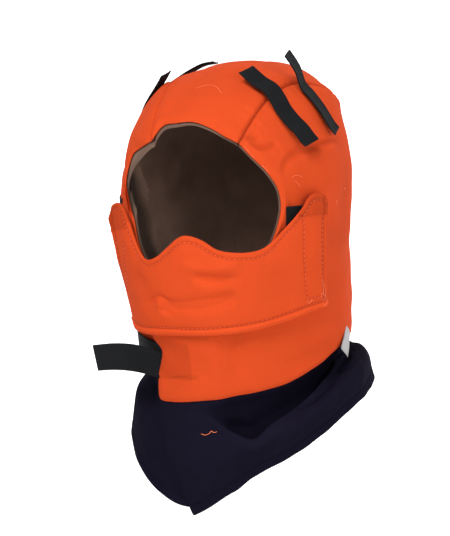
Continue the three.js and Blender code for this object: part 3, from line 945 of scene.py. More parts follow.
def tape_cloth(name, colour, pitch):
    """Hook or loop tape: rows of small bumps under a fuzz, paler where either stands up."""
    finish = Finish(name)
    across, along = finish.chart()
    fuzz = finish.noise(grain=0.0012, detail=3.0)
    rows = (along * (2 * np.pi / pitch)).wave()
    hooks = (across * (2 * np.pi / pitch)).wave()
    bed = rows * hooks
    specks = fuzz * 0.6 + (bed * 0.5 + 0.5) * 0.4
    return finish.shade({
        "Base Color": finish.mix(specks, rgba(colour, 0.6), rgba(colour, 1.5)),
        "Roughness": 0.75 + (fuzz - 0.5) * 0.3,
        "Normal": finish.bump(bed * 0.6 + fuzz, distance=0.0004, strength=0.8),
        "Sheen Weight": 0.01,
        "Sheen Roughness": 0.5,
        "Specular IOR Level": 0.08,
    })


def thread_finish(name, colour):
    """Sewing thread: paler and darker in fine spots, and a little glossy."""
    finish = Finish(name)
    fuzz = finish.noise(grain=0.0006, detail=2.0)
    return finish.shade({
        "Base Color": finish.dyed(fuzz, colour, spread=0.2),
        "Roughness": 0.6 + (fuzz - 0.5) * 0.2,
        "Specular IOR Level": 0.3,
    })


def ribbon_finish(name, colour, pitch):
    """Satin ribbon: fine cross ribs, and a little grey in patches."""
    finish = Finish(name)
    along = finish.chart()[1]
    rib = (along * (2 * np.pi / pitch)).wave()
    soil = finish.noise(grain=0.004, detail=3.0)
    return finish.shade({
        "Base Color": finish.mix(soil, rgba(colour, 0.8), rgba(colour)),
        "Roughness": 0.45 + (soil - 0.5) * 0.2,
        "Normal": finish.bump(rib, distance=0.0001, strength=0.5),
        "Specular IOR Level": 0.4,
    })


def made_once(name, maker, colour, **look):
    """The finish of that name, made by its function the first time."""
    return bpy.data.materials.get(name) or maker(name, colour, **look)


def orange_cotton(scene):
    """Finish of the hood and the flap."""
    look = {"pitch": 0.9, "roughness": 0.85, "sheen": 0.02, "gloss": 0.03}
    return made_once("orange_cotton", woven_cloth, scene.liner_hood.orange, **look)


def navy_cotton(scene):
    """Finish of the cape."""
    look = {"pitch": 0.9, "roughness": 0.9, "sheen": 0.01, "gloss": 0.01}
    return made_once("navy_cotton", woven_cloth, scene.liner_tape.navy, **look)


def black_tape(scene):
    """Finish of all the tape and the straps."""
    return made_once("hook_tape", tape_cloth, scene.liner_tape.black, pitch=1.6)


def pale_thread(scene):
    """Finish of the loose threads."""
    return made_once("thread", thread_finish, scene.liner_hood.thread)


# Hood

HANDS = {"left": 1, "right": -1}
HOOD_RIM = 0.62
CROWN_GRID = (150, 260)
SIDE_GRID = (170, 150)
FORWARD_STEP = 0.1

# Swells: height, wave length and seed; a side's seeds are counted on from its own
CROWN_SEED = 3
CROWN_SWELL = ((1.0, 75, 11), (0.4, 26, 12))
CROWN_START = 8
SIDE_SEED = 20
SIDE_SWELL = ((1.0, 80, 6), (0.35, 26, 8))
SIDE_START = 6
NECK_SEAM_SHARE = 0.6
BROW_PUFF = 0.6
BROW_PUFF_PLACE = 7
CHEEK_PUFF = 0.5
CHEEK_PUFF_PLACE = 6

# Lines sewn on the sides: hem of the face opening, pleat on the right, band and patch of the left throat
HEM_LINE = 7.0
HEM_DROPS = (92, 104, 150, 165)
PLEAT_LINE = 4.5
PLEAT_WIDTH = 1.1
PLEAT_DROPS = (108, 116, 160, 170)
BAND_WIDTH = 1.0
BAND_DROPS = (259.5, 253)
BAND_ANGLES = (-28, -2)
BAND_END = (-4, 0)
PATCH_ANGLES = (-26, -24.5, -5.5, -4)
PATCH_DROPS = (222, 226, 255, 258)
SIDE_RELIEF = {"hem": -0.5, "band": -0.7, "patch": 0, "pleat": -1.4}
# SIDE_TONE paints shade into the hem, band and pleat grooves and makes the patch darker; CREASE_SHADE
# paints shade into the creases
SIDE_TONE = {"hem": -0.12, "band": -0.2, "patch": -0.16, "pleat": -0.35}
CREASE_SHADE = 0.07
DEEPEST_CREASE = 3

# Loose threads: on the left side at places of angle and drop; on the crown in plan, sideways in CHART units
SIDE_THREADS = [
    [(28.5, 63), (30, 66), (31, 69)],
    [(31.5, 70), (33.5, 72), (33, 73.5)],
    [(37, 78), (39, 81), (40.5, 83)],
    [(52, 87), (55, 86), (58, 88)],
    [(53, 90), (55, 92), (56.5, 95)],
    [(93, 102), (96, 104)],
    [(83, 110), (82.5, 114)],
]
CROWN_THREADS = [[(-5.6, -66.4), (0.2, -64.6), (4.2, -66), (9.3, -73.2)]]


def seam_place(station, side, lined):
    """Angle and level on a crown seam; the lining's start is drawn a little into the face opening."""
    peek = FACE_EDGES[side]["peek"][0] * lined
    start = 1 - np.minimum(station, 1)
    drop = SEAM["drop"](station)
    shift = LINING_SHIFT * lined * ease(station, *SHIFT_STATIONS)
    angle = SEAM["angle"](station) * (1 - peek * start) - shift
    return angle, level_at(drop + peek * start * (OPENING_MIDDLE_DROP - drop))


def crown_stations(down):
    """Stations of the crown seam for a share of the strip's length."""
    front = np.minimum(down / CORNER_SHARE, 1) * SIDE_CORNER
    back = np.maximum(down - CORNER_SHARE, 0) / (1 - CORNER_SHARE) * (SEAM_END - SIDE_CORNER)
    return front + back


def crown_form(across, station, lined):
    """Points of the crown strip: a parabola across it through both seams and the centre line."""
    start = 1 - np.minimum(station, 1)
    middle_level = SEAM["middle"](station) - MIDDLE_PEEK * lined * start
    left = head(*seam_place(station, "left", lined))
    angle, level = seam_place(station, "right", lined)
    right = head(-angle, level)
    middle = head(np.where(middle_level < 0, 0, 180), np.abs(middle_level))
    u = across[..., None]
    return middle + (left - right) * u / 2 + ((left + right) / 2 - middle) * u**2


def crown_strip(across, station, lined):
    """The crown form with its front edge pulled along the strip, less and less away from that edge."""
    near = np.minimum(station, PULL_STATIONS)
    ahead = unit(crown_form(across, near + FORWARD_STEP, lined) - crown_form(across, near, lined))
    fade = (1 - near / PULL_STATIONS) ** 2
    return crown_form(across, station, lined) - ahead * (PULL["pull"](across) * fade)[..., None]


def crown_grid(size, lined, rim):
    """The crown strip's points, drawn in from the seams by the rim, and its two running lengths."""

    def strip(across, down):
        return crown_strip(2 * across - 1, crown_stations(down), lined)

    points = strip(*inset_grid(*size, strip, rim + SEAM_PLAY / 2))
    return points, travelled(points, 1), travelled(points, 0)


def crown_shell():
    """Outer and inner faces of the crown strip, its chart and its tone."""
    points, across, along = crown_grid(CROWN_GRID, False, HOOD_RIM)
    from_seam = np.minimum(across, across[:, -1:] - across)
    swell = swells(points, CROWN_SWELL) + BROW_PUFF * bell(along - BROW_PUFF_PLACE, EDGE_PUFF_WIDTH)
    tight = across < across[:, -1:] / 2
    relief = seam_relief(from_seam, along, CROWN_SEED, np.where(tight, TIGHT_WIDTH, SEAM_WIDTH))
    relief += panel_relief(swell, along, from_seam, CROWN_START)
    outer = raised(points, SHELL_OUTER + np.maximum(relief, DEEPEST))
    # Painted shade along the seams' dip
    tone = 1 - np.where(tight, TIGHT_SHADE, SEAM_SHADE) * bell(from_seam, SHADE_WIDTH)
    return outer, raised(points, SHELL_INNER), (across, along), tone


def front_edge(side, throat_end, lined):
    """The panel's front edge: round the face opening, along the throat's top, down the band's end."""
    edge = FACE_EDGES[side]
    peek = edge["peek"] * lined
    angles = edge["angle"] * (1 - peek)
    drops = edge["drop"] + peek * (OPENING_MIDDLE_DROP - edge["drop"])
    corner = CORNER["turn"] if side == "left" and not lined else np.zeros_like
    angles = np.append(angles, min(throat_end + corner(0.0), angles[-1] - 1))
    drops = np.append(drops, THROAT_TOP)
    stations = np.arange(len(angles))
    angle = curve(stations, angles)
    drop = curve(stations, drops)

    def at(down):
        station = np.clip(down / THROAT_SHARE, 0, 1) * stations[-1]
        share = np.clip((down - THROAT_SHARE) / (1 - THROAT_SHARE), 0, 1)
        lowest = NECK["drop"](throat_end + corner(1.0))
        edge_angle = np.where(share > 0, throat_end + corner(share), angle(station))
        return edge_angle, level_at(blend(drop(station), lowest, share))

    return at


def side_patch(across, down, side, throat_end, lined):
    """Angle and level over a side panel: a patch blended between its four edges."""
    back_angle = seam_place(SEAM_END, side, lined)[0]
    front = front_edge(side, throat_end, lined)
    neck_start = front(np.array(1.0))[0]

    def neck(share):
        angle = blend(neck_start, back_angle, share)
        return angle, level_at(NECK["drop"](angle))

    def top(share):
        return seam_place(SIDE_CORNER * share, side, lined)

    def back(share):
        return seam_place(blend(SIDE_CORNER, SEAM_END, share), side, lined)

    result = []
    for part in (0, 1):
        sides = (1 - down) * top(across)[part] + down * neck(across)[part]
        ends = (1 - across) * front(down)[part] + across * back(down)[part]
        first = (1 - across) * top(0.0)[part] + across * top(1.0)[part]
        last = (1 - across) * neck(0.0)[part] + across * neck(1.0)[part]
        result.append(sides + ends - (1 - down) * first - down * last)
    return result


def side_places(side, layer, size, rim):
    """Angle and level at the points of a side panel, drawn in from its edges by the rim."""

    def patch(across, down):
        return side_patch(across, down, side, THROAT_ENDS[side][layer], layer == "lining")

    def surface(across, down):
        return head(*patch(across, down))

    return patch(*inset_grid(*size, surface, rim + SEAM_PLAY / 2))


def throat_lift(angle, level):
    """How far the outer throat band rises over the tape and the band below it."""
    below = ease(level, *level_at(np.array(THROAT_RISE)))
    return THROAT_LIFT * below * ease(-angle, *THROAT_RAMP)


def side_shell(side):
    """Outer and inner faces of a side panel, its chart in angle and drop, its UV chart and its tone."""
    hand = HANDS[side]
    seed = SIDE_SEED + hand
    angle, level = side_places(side, "shell", SIDE_GRID, HOOD_RIM)
    points = head(hand * angle, level)
    drop = -points[..., 2]
    from_front = travelled(points, 1)
    from_back = from_front[:, -1:] - from_front
    from_top = travelled(points, 0)
    from_neck = from_top[-1:] - from_top
    from_seam = np.minimum(from_top, from_back)
    marks = {"hem": groove(from_front - HEM_LINE) * between(drop, *HEM_DROPS)}
    if side == "left":
        width, shade, creases = SEAM_WIDTH, SEAM_SHADE, LEFT_FOLDS
        lift = throat_lift(angle, level)
        band_line = blend(*BAND_DROPS, ease(angle, *BAND_ANGLES))
        marks["band"] = groove(drop - band_line, BAND_WIDTH) * (1 - ease(angle, *BAND_END))
        marks["patch"] = between(angle, *PATCH_ANGLES) * between(drop, *PATCH_DROPS)
    else:
        width, shade, creases = TIGHT_WIDTH, TIGHT_SHADE, RIGHT_FOLDS
        lift = 0
        marks["pleat"] = groove(from_front - PLEAT_LINE, PLEAT_WIDTH) * between(drop, *PLEAT_DROPS)
    relief = seam_relief(from_top, from_front, seed, width) + seam_relief(from_back, from_top, seed + 2)
    relief += NECK_SEAM_SHARE * seam_relief(from_neck, from_front, seed + 4)
    crease = folds(creases, angle, drop)
    waves = [(height, length, seed + step) for height, length, step in SIDE_SWELL]
    puff = CHEEK_PUFF * bell(from_front - CHEEK_PUFF_PLACE, EDGE_PUFF_WIDTH)
    relief += panel_relief(crease + swells(points, waves) + puff, from_front, from_seam, SIDE_START)
    relief += weighted(marks, SIDE_RELIEF)
    outer = raised(points, SHELL_OUTER + lift + np.maximum(relief, DEEPEST))
    inner = raised(points, SHELL_INNER + lift)
    # Painted shade along the seams, in the stitched grooves and in the creases; the patch is darker
    tone = 1 - shade * bell(from_seam, SHADE_WIDTH) + weighted(marks, SIDE_TONE)
    tone -= CREASE_SHADE * np.clip(-crease, 0, DEEPEST_CREASE)
    return outer, inner, (hand * angle, drop), (from_front, from_top), tone


# Lining

LINING_EDGE = 0.8
LINING_SEAM = 0.3
LINING_GRID = (90, 100)
LINING_CROWN_GRID = (60, 150)
LINING_CROWN_SWELL = ((0.5, 40, 41),)
LINING_START = 12
THIN_FRONT = 5
THIN_SEAM = 4

# Loose cloth of the sides: how far it hangs in, its swell and the wrinkles in its folds
LOOSE_HANG = 0.8
LOOSE_SWELL = (0.7, 45, 44)
WRINKLES = (0.35, 24, 47)
LOOSE_START = (2, 9)

# Tone of the lining: dark at the front edge, painted highlights on the crests of its folds and painted
# shade in the valley before a ridge
LINING_PALE = 1.2
FRONT_SHADE = 0.42
FRONT_RUN = (3, 12)
FOLD_HIGHLIGHT = 0.05
HIGHLIGHT_HEIGHTS = (1.5, 7)
RIDGE_PLACE = (74, 76)
RIDGE_SLOPE = 0.25
VALLEY_SHADE = 0.95
VALLEY_START = (4, 14)
VALLEY_END = (-4, 2)
VALLEY_DROPS = (80, 100)
DARKEST = 0.35


def lining_crown_wall():
    """Faces of the lining behind the crown, its chart and its tone."""
    points, across, along = crown_grid(LINING_CROWN_GRID, True, LINING_SEAM / 2)
    from_seam = np.minimum(across, across[:, -1:] - across)
    relief = swells(points, LINING_CROWN_SWELL) * ease(np.minimum(from_seam, along), 0, LINING_START)
    faces = lining_faces(points, relief, along, from_seam)
    return *faces, (across, along), {"tone": lining_tone(along, relief)}


def lining_faces(points, relief, from_front, from_seam):
    """Faces of a lining: thinned from inside at its front edge and from behind at its seams."""
    front = 1 - ease(from_front, 0, THIN_FRONT)
    seam = 1 - ease(from_seam, 0, THIN_SEAM)
    inner = (LINING_OUTER - LINING_EDGE) * front * (1 - seam) - np.maximum(relief, 0)
    outer = LINING_OUTER - (LINING_OUTER - LINING_SEAM) * seam
    return raised(points, outer), raised(points, inner)


def lining_tone(from_front, relief):
    """Darker at the front edge, with a painted highlight on the crests of folds."""
    first, most = HIGHLIGHT_HEIGHTS
    painted_highlight = FOLD_HIGHLIGHT * np.clip(relief - first, 0, most)
    return LINING_PALE - FRONT_SHADE * (1 - ease(from_front, *FRONT_RUN)) + painted_highlight


def lining_side_wall(side):
    """Faces of a side lining: it hangs loose in folds behind the edge of the face opening."""
    hand = HANDS[side]
    angle, level = side_places(side, "lining", LINING_GRID, LINING_SEAM / 2)
    points = head(hand * angle, level)
    drop = -points[..., 2]
    from_front = travelled(points, 1)
    from_top = travelled(points, 0)
    from_seam = np.minimum(from_top, from_front[:, -1:] - from_front)
    wrinkles, swell = (
        swells(points, [(height, length, seed + hand)]) for height, length, seed in (WRINKLES, LOOSE_SWELL)
    )
    relief = (1 + wrinkles) * folds(LINING_FOLDS[side], angle, drop) + LOOSE_HANG + swell
    relief *= ease(from_front, *LOOSE_START) * ease(from_seam, 0, LINING_START)
    # Painted shade in the valley between the front edge and the ridge
    ridge = RIDGE_PLACE[0] + RIDGE_SLOPE * (drop - RIDGE_PLACE[1])
    valley = ease(from_front, *VALLEY_START) * (1 - ease(angle - ridge, *VALLEY_END))
    valley *= ease(drop, *VALLEY_DROPS)
    tone = np.maximum(lining_tone(from_front, relief) - VALLEY_SHADE * valley, DARKEST)
    return *lining_faces(points, relief, from_front, from_seam), (from_front, from_top), {"tone": tone}


# Face flap

FLAP_GRID = (250, 90)
FLAP_RIM = 1.5
FLAP_TOPSTITCH = 3.6
FLAP_WELT = 4.8
WELT_WIDTH = 1.0
WELT_MIDDLE = 1.8
WELT_HALF = 3
PAD_RISE = 1.1
PAD_START = 14
PAD_EDGE = -0.9
FLAP_DEEPEST = -2.6
FLAP_SWELL = ((0.45, 55, 51), (0.2, 20, 52))
FLAP_BACK_SWELL = ((0.3, 40, 53),)
FLAP_RELIEF = {"roll": 1.1, "stitch": -0.7, "welt": -1.0, "box": -0.6, "tab": 0.8}
# Tone: a painted highlight on the welt's roll, painted shade in the stitched grooves and on the folded tabs
FLAP_PAINTED_LIGHT = {"roll": 0.12, "stitch": -0.2, "welt": -0.25, "box": -0.16, "tab": -0.2}

# Flap stitches: columns that the upper row leaves out, place of the lower row, and how the thread lies
ROW_COLUMNS = slice(6, -6)
WELT_ROW = FLAP_WELT + 0.5
BOX_POINTS = 40
STITCH_LIFT = 0.12
STITCH_THICKNESS = 0.7

# Lines above which the flap's ends are folded tabs, boxes stitched round the hook strips and loose threads,
# all at places of the flap's own angle and drop
TAB_LINES = {"left": [(53, 117), (62, 117.5), (71, 118.5)], "right": [(-60, 139), (-53, 134), (-47, 130)]}
TAB_SOFTNESS = 0.5
HOOK_BOXES = {
    "left": {"from": 56.2, "to": 66.6, "top": 118, "bottom": 187},
    "right": {"from": -56, "to": -49, "top": 142, "bottom": 205},
}
FLAP_THREADS = [
    [(66.2, 172), (66.6, 180), (66, 187)],
    [(67.4, 176), (67.8, 183), (67.2, 190)],
    [(64, 187.5), (65.5, 184), (67.5, 188), (66.4, 191), (64.8, 189)],
    [(56, 188), (57.2, 191), (58.6, 188.4), (60.2, 189.2)],
    [(65.5, 196), (67.5, 194), (69.5, 190.5)],
]


def flap_station(across):
    """The flap's own angle, counted at its lower edge."""
    return blend(FLAP_ROWS["angle"][0], FLAP_ROWS["angle"][-1], across)


def flap_line(station, down):
    """Angle, drop and stand of the flap's inner face on the line of a station."""
    angle = station + FLAP["lean"](station) * (1 - down)
    drop = blend(FLAP["top"](station), FLAP["bottom"](station), down)
    fall = np.maximum(down, 0) ** STAND_FALL
    stand = blend(FLAP["stand_top"](station), FLAP["stand_bottom"](station), fall)
    return angle, drop, stand


def flap_points(station, down, distance):
    """Points of the flap at a distance from its inner face."""
    angle, drop, stand = flap_line(station, down)
    return raised(head(angle, level_at(drop)), stand + distance)


def edge_distance(points, axis, last=False):
    """Distance from a grid's first or last edge: length along its lines times the sine of their slant."""
    run = travelled(points, axis)
    if last:
        run = np.take(run, [-1], axis=axis) - run
    lines = unit(np.gradient(points, axis=axis))
    others = unit(np.gradient(points, axis=1 - axis))
    sine = np.linalg.norm(np.cross(lines, others), axis=-1)
    return run * np.take(sine, [-1 if last else 0], axis=axis)


def box_grooves(station, drop):
    """Stitched box that holds the hook strip at each end: two upright lines and one across below."""
    total = np.zeros(station.shape)
    for box in HOOK_BOXES.values():
        upright = (drop > box["top"]) * (drop < box["bottom"])
        level = (station > box["from"]) * (station < box["to"])
        lines = groove((station - box["from"]) * CHART) + groove((station - box["to"]) * CHART)
        total += upright * lines + level * groove(drop - box["bottom"])
    return total


def tab_step(station, drop):
    """Share of the folded tabs: one above their line, zero below it."""
    step = np.zeros(station.shape)
    for path in TAB_LINES.values():
        places = np.array(path, float)
        line = np.interp(station, places[:, 0], places[:, 1])
        inside = (station >= places[0, 0]) * (station <= places[-1, 0])
        step = np.maximum(step, inside * ease(line - drop, -TAB_SOFTNESS, TAB_SOFTNESS))
    return step


def flap_wall():
    """Faces of the padded flap, its own chart, its UV chart, its tone and the distances from its edges."""

    def surface(across, down):
        return flap_points(flap_station(across), down, 0)

    across, down = inset_grid(*FLAP_GRID, surface, FLAP_RIM)
    station = flap_station(across)
    angle, drop, _ = flap_line(station, down)
    points = flap_points(station, down, 0)
    from_top = edge_distance(points, 0)
    from_bottom = edge_distance(points, 0, last=True)
    from_end = np.minimum(edge_distance(points, 1), edge_distance(points, 1, last=True))
    edge = np.minimum(np.minimum(from_top, from_end), from_bottom)
    stitch = np.maximum(groove(from_top - FLAP_TOPSTITCH), groove(from_end - FLAP_TOPSTITCH))
    marks = {
        "roll": np.clip(1 - ((from_bottom - WELT_MIDDLE) / WELT_HALF) ** 2, 0, 1),
        "stitch": stitch * (from_bottom > FLAP_WELT),
        "welt": groove(from_bottom - FLAP_WELT, WELT_WIDTH),
        "box": box_grooves(station, drop),
        "tab": tab_step(station, drop),
    }
    relief = PAD_RISE * ease(edge, 0, PAD_START) + PAD_EDGE + folds(FLAP_FOLDS, angle, drop)
    relief += swells(points, FLAP_SWELL) + weighted(marks, FLAP_RELIEF)
    outer = flap_points(station, down, FLAP_WALL + np.maximum(relief, FLAP_DEEPEST))
    inner = flap_points(station, down, swells(points, FLAP_BACK_SWELL))
    # Painted highlight on the welt's roll; painted shade in the grooves and on the folded tabs
    tone = 1 + weighted(marks, FLAP_PAINTED_LIGHT)
    running = travelled(points, 1), travelled(points, 0)
    return outer, inner, (station, drop), running, tone, (from_top, from_bottom)


def level_line(field, value, points):
    """The line of points on which a field that rises down the columns of a grid reaches a value."""
    row = np.maximum(np.argmax(field > value, axis=0), 1)
    column = np.arange(field.shape[1])
    before = field[row - 1, column]
    share = np.clip((value - before) / (field[row, column] - before), 0, 1)[:, None]
    return blend(points[row - 1, column], points[row, column], share)


def flap_stitches(outer, chart, distances, length, gap):
    """Thread on the flap: along its upper and lower edges and round both hook boxes."""
    from_top, from_bottom = distances
    lines = [
        level_line(from_top[:, ROW_COLUMNS], FLAP_TOPSTITCH, outer[:, ROW_COLUMNS]),
        level_line(from_bottom[::-1], WELT_ROW, outer[::-1]),
    ]
    for box in HOOK_BOXES.values():
        corners = [
            (box["from"], box["top"]),
            (box["from"], box["bottom"]),
            (box["to"], box["bottom"]),
            (box["to"], box["top"]),
        ]
        for ends in zip(corners[:-1], corners[1:]):
            lines.append(on_cloth(ends, BOX_POINTS, chart, outer, 0))
    parts = []
    for line in lines:
        above = outward(line)
        parts.append(stitch_beads(line + above * STITCH_LIFT, above, length, gap, STITCH_THICKNESS))
    return joined(parts)


# Tape

TAPE_GRID = (30, 80)
TAPE_FUZZ = ((0.08, 4, 61),)
CLOSURE_GRID = (120, 25)
CLOSURE_CUT = (0.9, 1)
STRAP_GRID = (90, 21)
STRAP_CURL = 0.5


def loop_patch(place):
    """Faces of a loop patch that lies on the hood, and its running lengths."""
    across, down = grid(*TAPE_GRID)
    angle = blend(place["from"], place["to"], across)
    points = head(angle, level_at(blend(place["top"], place["bottom"], down)))
    outer = raised(points, LOOP_INNER + TAPE_WALL + swells(points, TAPE_FUZZ))
    return outer, raised(points, LOOP_INNER), (travelled(points, 1), travelled(points, 0))


def hook_strip(box):
    """Faces of a hook strip behind the flap, within its stitched box, and its running lengths."""
    across, down = grid(*TAPE_GRID)
    station = blend(box["from"], box["to"], across)
    drop = blend(box["top"], box["bottom"], down)
    share = (drop - FLAP["top"](station)) / (FLAP["bottom"](station) - FLAP["top"](station))
    outer = flap_points(station, share, -HOOK_GAP)
    inner = flap_points(station, share, -HOOK_GAP - TAPE_WALL)
    return outer, inner, (travelled(outer, 1), travelled(outer, 0))


def closure_wall():
    """Faces of the closure tape: lines that follow the throat, then run free through a few points."""
    count, width_count = CLOSURE_GRID
    stand = HOOK_INNER + TAPE_WALL / 2 + CLOSURE_SEWN["stand"]
    lines = []
    for share in np.linspace(0, 1, width_count):
        drop = CLOSURE_DROP + CLOSURE_WIDTH * (share - 0.5)
        sewn = raised(head(CLOSURE_SEWN["angle"], level_at(drop)), stand)
        free = np.stack([CLOSURE_FREE["x"], CLOSURE_FREE["y"], CLOSURE_FREE["rise"] - drop], axis=-1)
        line = smooth_line(np.concatenate([sewn, free]), count)
        along = unit(np.gradient(line, axis=0))
        cut = CLOSURE_SLANT * share * ease(np.linspace(0, 1, count), *CLOSURE_CUT)
        lines.append(line - along * cut[:, None])
    middle = np.stack(lines)
    through = normals(middle) * TAPE_WALL / 2
    return middle + through, middle - through, (travelled(middle, 1), travelled(middle, 0))


def strap_wall(form):
    """Faces of a crown strap: its line in the strap's own frame, carried across its width."""
    root = head(form["angle"], level_at(form["drop"]))
    normal = outward(root)
    hand = np.sign(form["angle"])
    side = np.array([hand, 0, 0])
    along = unit(side - normal * (side @ normal))
    turn = Matrix.Rotation(np.radians(-hand * form["turn"]), 3, Vector(normal))
    along = np.array(turn @ Vector(along))
    across = np.cross(normal, along)
    count, width_count = STRAP_GRID
    line = smooth_line(np.stack(list(form["line"].values()), axis=-1), count)
    shares = np.linspace(-0.5, 0.5, width_count)
    middle = (
        root
        + normal * (SHELL_OUTER + STRAP_SEAT)
        + line[:, None, 0, None] * along
        + line[:, None, 1, None] * normal
        + (shares * STRAP_WIDTH)[None, :, None] * across
        - (2 * shares * form["roll"])[None, :, None] * normal
    )
    up = normals(middle)
    up *= np.sign(np.sum(up * normal, axis=-1, keepdims=True))
    curl = STRAP_CURL * (2 * shares[None, :, None]) ** 4 * up
    return middle + up * STRAP_WALL + curl, middle + curl, (travelled(middle, 1), travelled(middle, 0))


# Cape

CAPE_GRID = (330, 80)
CAPE_WALL = 1.4
SWING_POWER = 1.5
TUCK_LENGTH = 9
CAPE_SWELL = ((1.2, 70, 71), (0.3, 22, 72))
SWELL_RUN = (4, 30)
SIGN_GUARD = 1e-9

# Front fold and hem: runs over which they begin and end, sizes, and tones, which paint shade in the hollow
# and the hem's groove and a highlight on the lip
HOLLOW_START = (2, 12)
HOLLOW_END = (-3, 2)
LIP_PLACE = 4
LIP_WIDTH = 6
HEM_PLACE = 9
HEM_WIDTH = 1.0
HEM_RUN = (8, 10)
HEM_THICKER = 0.3
HEM_DIP = 0.25
CAPE_PAINTED_LIGHT = {"hem": -0.25, "hollow": -0.4, "lip": 0.15}

# Thread on the cape, at places of angle and length from the neck seam
CAPE_THREAD_POINTS = 24
CAPE_THREAD_LIFT = 0.4
CAPE_THREAD_THICKNESS = 0.7
CAPE_THREAD = [(-3, 30), (-0.5, 31.5), (2, 30), (3, 28.5), (4.5, 30), (6, 29)]


def cape_lines(angle, down):
    """Out and down from the neck seam: a smooth line through a dip and a roll to the hem."""
    zero = np.zeros(angle.shape)
    knots = [np.stack([zero, zero])]
    for name in ("dip", "roll", "hem"):
        knots.append(np.stack([CAPE[f"{name}_out"](angle), CAPE[f"{name}_drop"](angle)]))
    slopes = [
        knots[1] - knots[0],
        (knots[2] - knots[0]) / 2,
        (knots[3] - knots[1]) / 2,
        knots[3] - knots[2],
    ]
    place = down * 3
    line = np.zeros(knots[0].shape)
    for part in range(3):
        t = place - part
        here = (t >= 0) * (t < 1) if part < 2 else (t >= 0)
        piece = knots[part] * (1 + 2 * t) * (1 - t) ** 2 + knots[part + 1] * (3 - 2 * t) * t**2
        piece = piece + slopes[part] * t * (1 - t) ** 2 - slopes[part + 1] * (1 - t) * t**2
        line = np.where(here, piece, line)
    return line


def cape_wall():
    """Faces of the cape: the neck seam carried out and down its lines, with folds and a turned-up hem."""
    across, down = grid(*CAPE_GRID)
    first, last = CAPE_ROWS["angle"][[0, -1]]
    angle = blend(first, last, across)
    out, fall = cape_lines(angle, down)
    drop = NECK["drop"](np.where(angle > 180, 360 - angle, angle))
    level = level_at(drop)
    turned = angle + CAPE["swing"](angle) * down**SWING_POWER
    tuck = 1 - ease(fall, 0, TUCK_LENGTH)
    start = raised(head(turned, level), CAPE_MIDDLE - CAPE_TUCK * tuck + throat_lift(angle, level))
    away = unit(start * (1, 1, 0))
    middle = start + away * out[..., None] + np.array([0, 0, -1]) * (fall - CAPE_PLAY * tuck)[..., None]
    along = travelled(middle, 0)
    across_mm = travelled(middle, 1)
    normal = normals(middle)
    normal *= np.sign(np.sum(normal * away, axis=-1, keepdims=True) + SIGN_GUARD)
    relief = folds(CAPE_FOLDS, angle, along) + ease(along, *SWELL_RUN) * swells(middle, CAPE_SWELL)
    below = along - LIP["depth"](angle)
    hollow = LIP["hollow"](angle) * ease(along, *HOLLOW_START) * (1 - ease(below, *HOLLOW_END))
    lip = LIP["hollow"](angle) * bell(below - LIP_PLACE, LIP_WIDTH)
    middle = middle + normal * (relief - HOLLOW_DEPTH * hollow + LIP_RISE * lip)[..., None]
    from_hem = along[-1:] - along
    hem = groove(from_hem - HEM_PLACE, HEM_WIDTH)
    half = CAPE_WALL / 2 + HEM_THICKER * (1 - ease(from_hem, *HEM_RUN)) - HEM_DIP * hem
    offset = normal * half[..., None]
    # Painted shade in the hollow and the hem's groove; a painted highlight on the lip
    tone = 1 + weighted({"hem": hem, "hollow": hollow, "lip": lip}, CAPE_PAINTED_LIGHT)
    return middle + offset, middle - offset, (angle, along), (across_mm, along), tone


# Label

def label_wall():
    """Faces of the bare label: a ribbon whose lower end stands off the cloth, and its running lengths."""
    across, down = grid(*LABEL_GRID)
    angle, drop = (
        blend(blend(a, b, across), blend(c, d, across), down) for a, b, c, d in LABEL_CORNERS.values()
    )
    turn = across * LABEL_TURNS[0] + down * LABEL_TURNS[1]
    stand = LABEL_STAND + LABEL_FLARE * down**2 + LABEL_CURL * np.sin(turn)
    points = head(angle, level_at(drop))
    running = travelled(points, 1), travelled(points, 0)
    return raised(points, stand + LABEL_WALL), raised(points, stand), running


# Settings

def colour_of(name, description, default):
    """A colour, as a setting."""
    return FloatVectorProperty(name=name, description=description, subtype="COLOR", default=default)


def length_of(name, description, default, **limits):
    """A length in metres, as a setting."""
    return FloatProperty(name=name, description=description, unit="LENGTH", default=default, **limits)


def angle_of(name, description, degrees):
    """An angle given in degrees, as a setting."""
    return FloatProperty(name=name, description=description, subtype="ANGLE", default=np.radians(degrees))


def power_of(name, description, default):
    """A light's power in watts, as a setting."""
    return FloatProperty(name=name, description=description, unit="POWER", default=default)


def strength_of(name, description, default):
    """A brightness of zero or more, as a setting."""
    return FloatProperty(name=name, description=description, default=default, min=0.0)


class HoodSettings(bpy.types.PropertyGroup):
    """Colours of the hood, its lining and its thread."""

    orange: colour_of("Orange", "Colour of the outer cotton", (0.72, 0.077, 0.018))
    lining: colour_of("Lining", "Colour of the lining inside", (0.21, 0.132, 0.097))
    thread: colour_of("Thread", "Colour of the loose thread ends", (0.95, 0.22, 0.09))
    stitching: colour_of("Stitching", "Colour of the sewn stitches", (0.84, 0.13, 0.05))
    stitch_length: length_of("Stitch", "Length of one stitch", 0.0024, min=0.001, max=0.008)
    stitch_gap: length_of("Stitch gap", "Cloth between two stitches", 0.0015, min=0.0, max=0.008)


class TapeSettings(bpy.types.PropertyGroup):
    """Colours of the cape, the tape and the label."""

    black: colour_of("Tape", "Colour of the hook and loop tape", (0.0095, 0.0102, 0.0115))
    navy: colour_of("Cape", "Colour of the cape's cotton", (0.0095, 0.008, 0.018))
    white: colour_of("Label", "Colour of the bare label", (0.46, 0.44, 0.44))


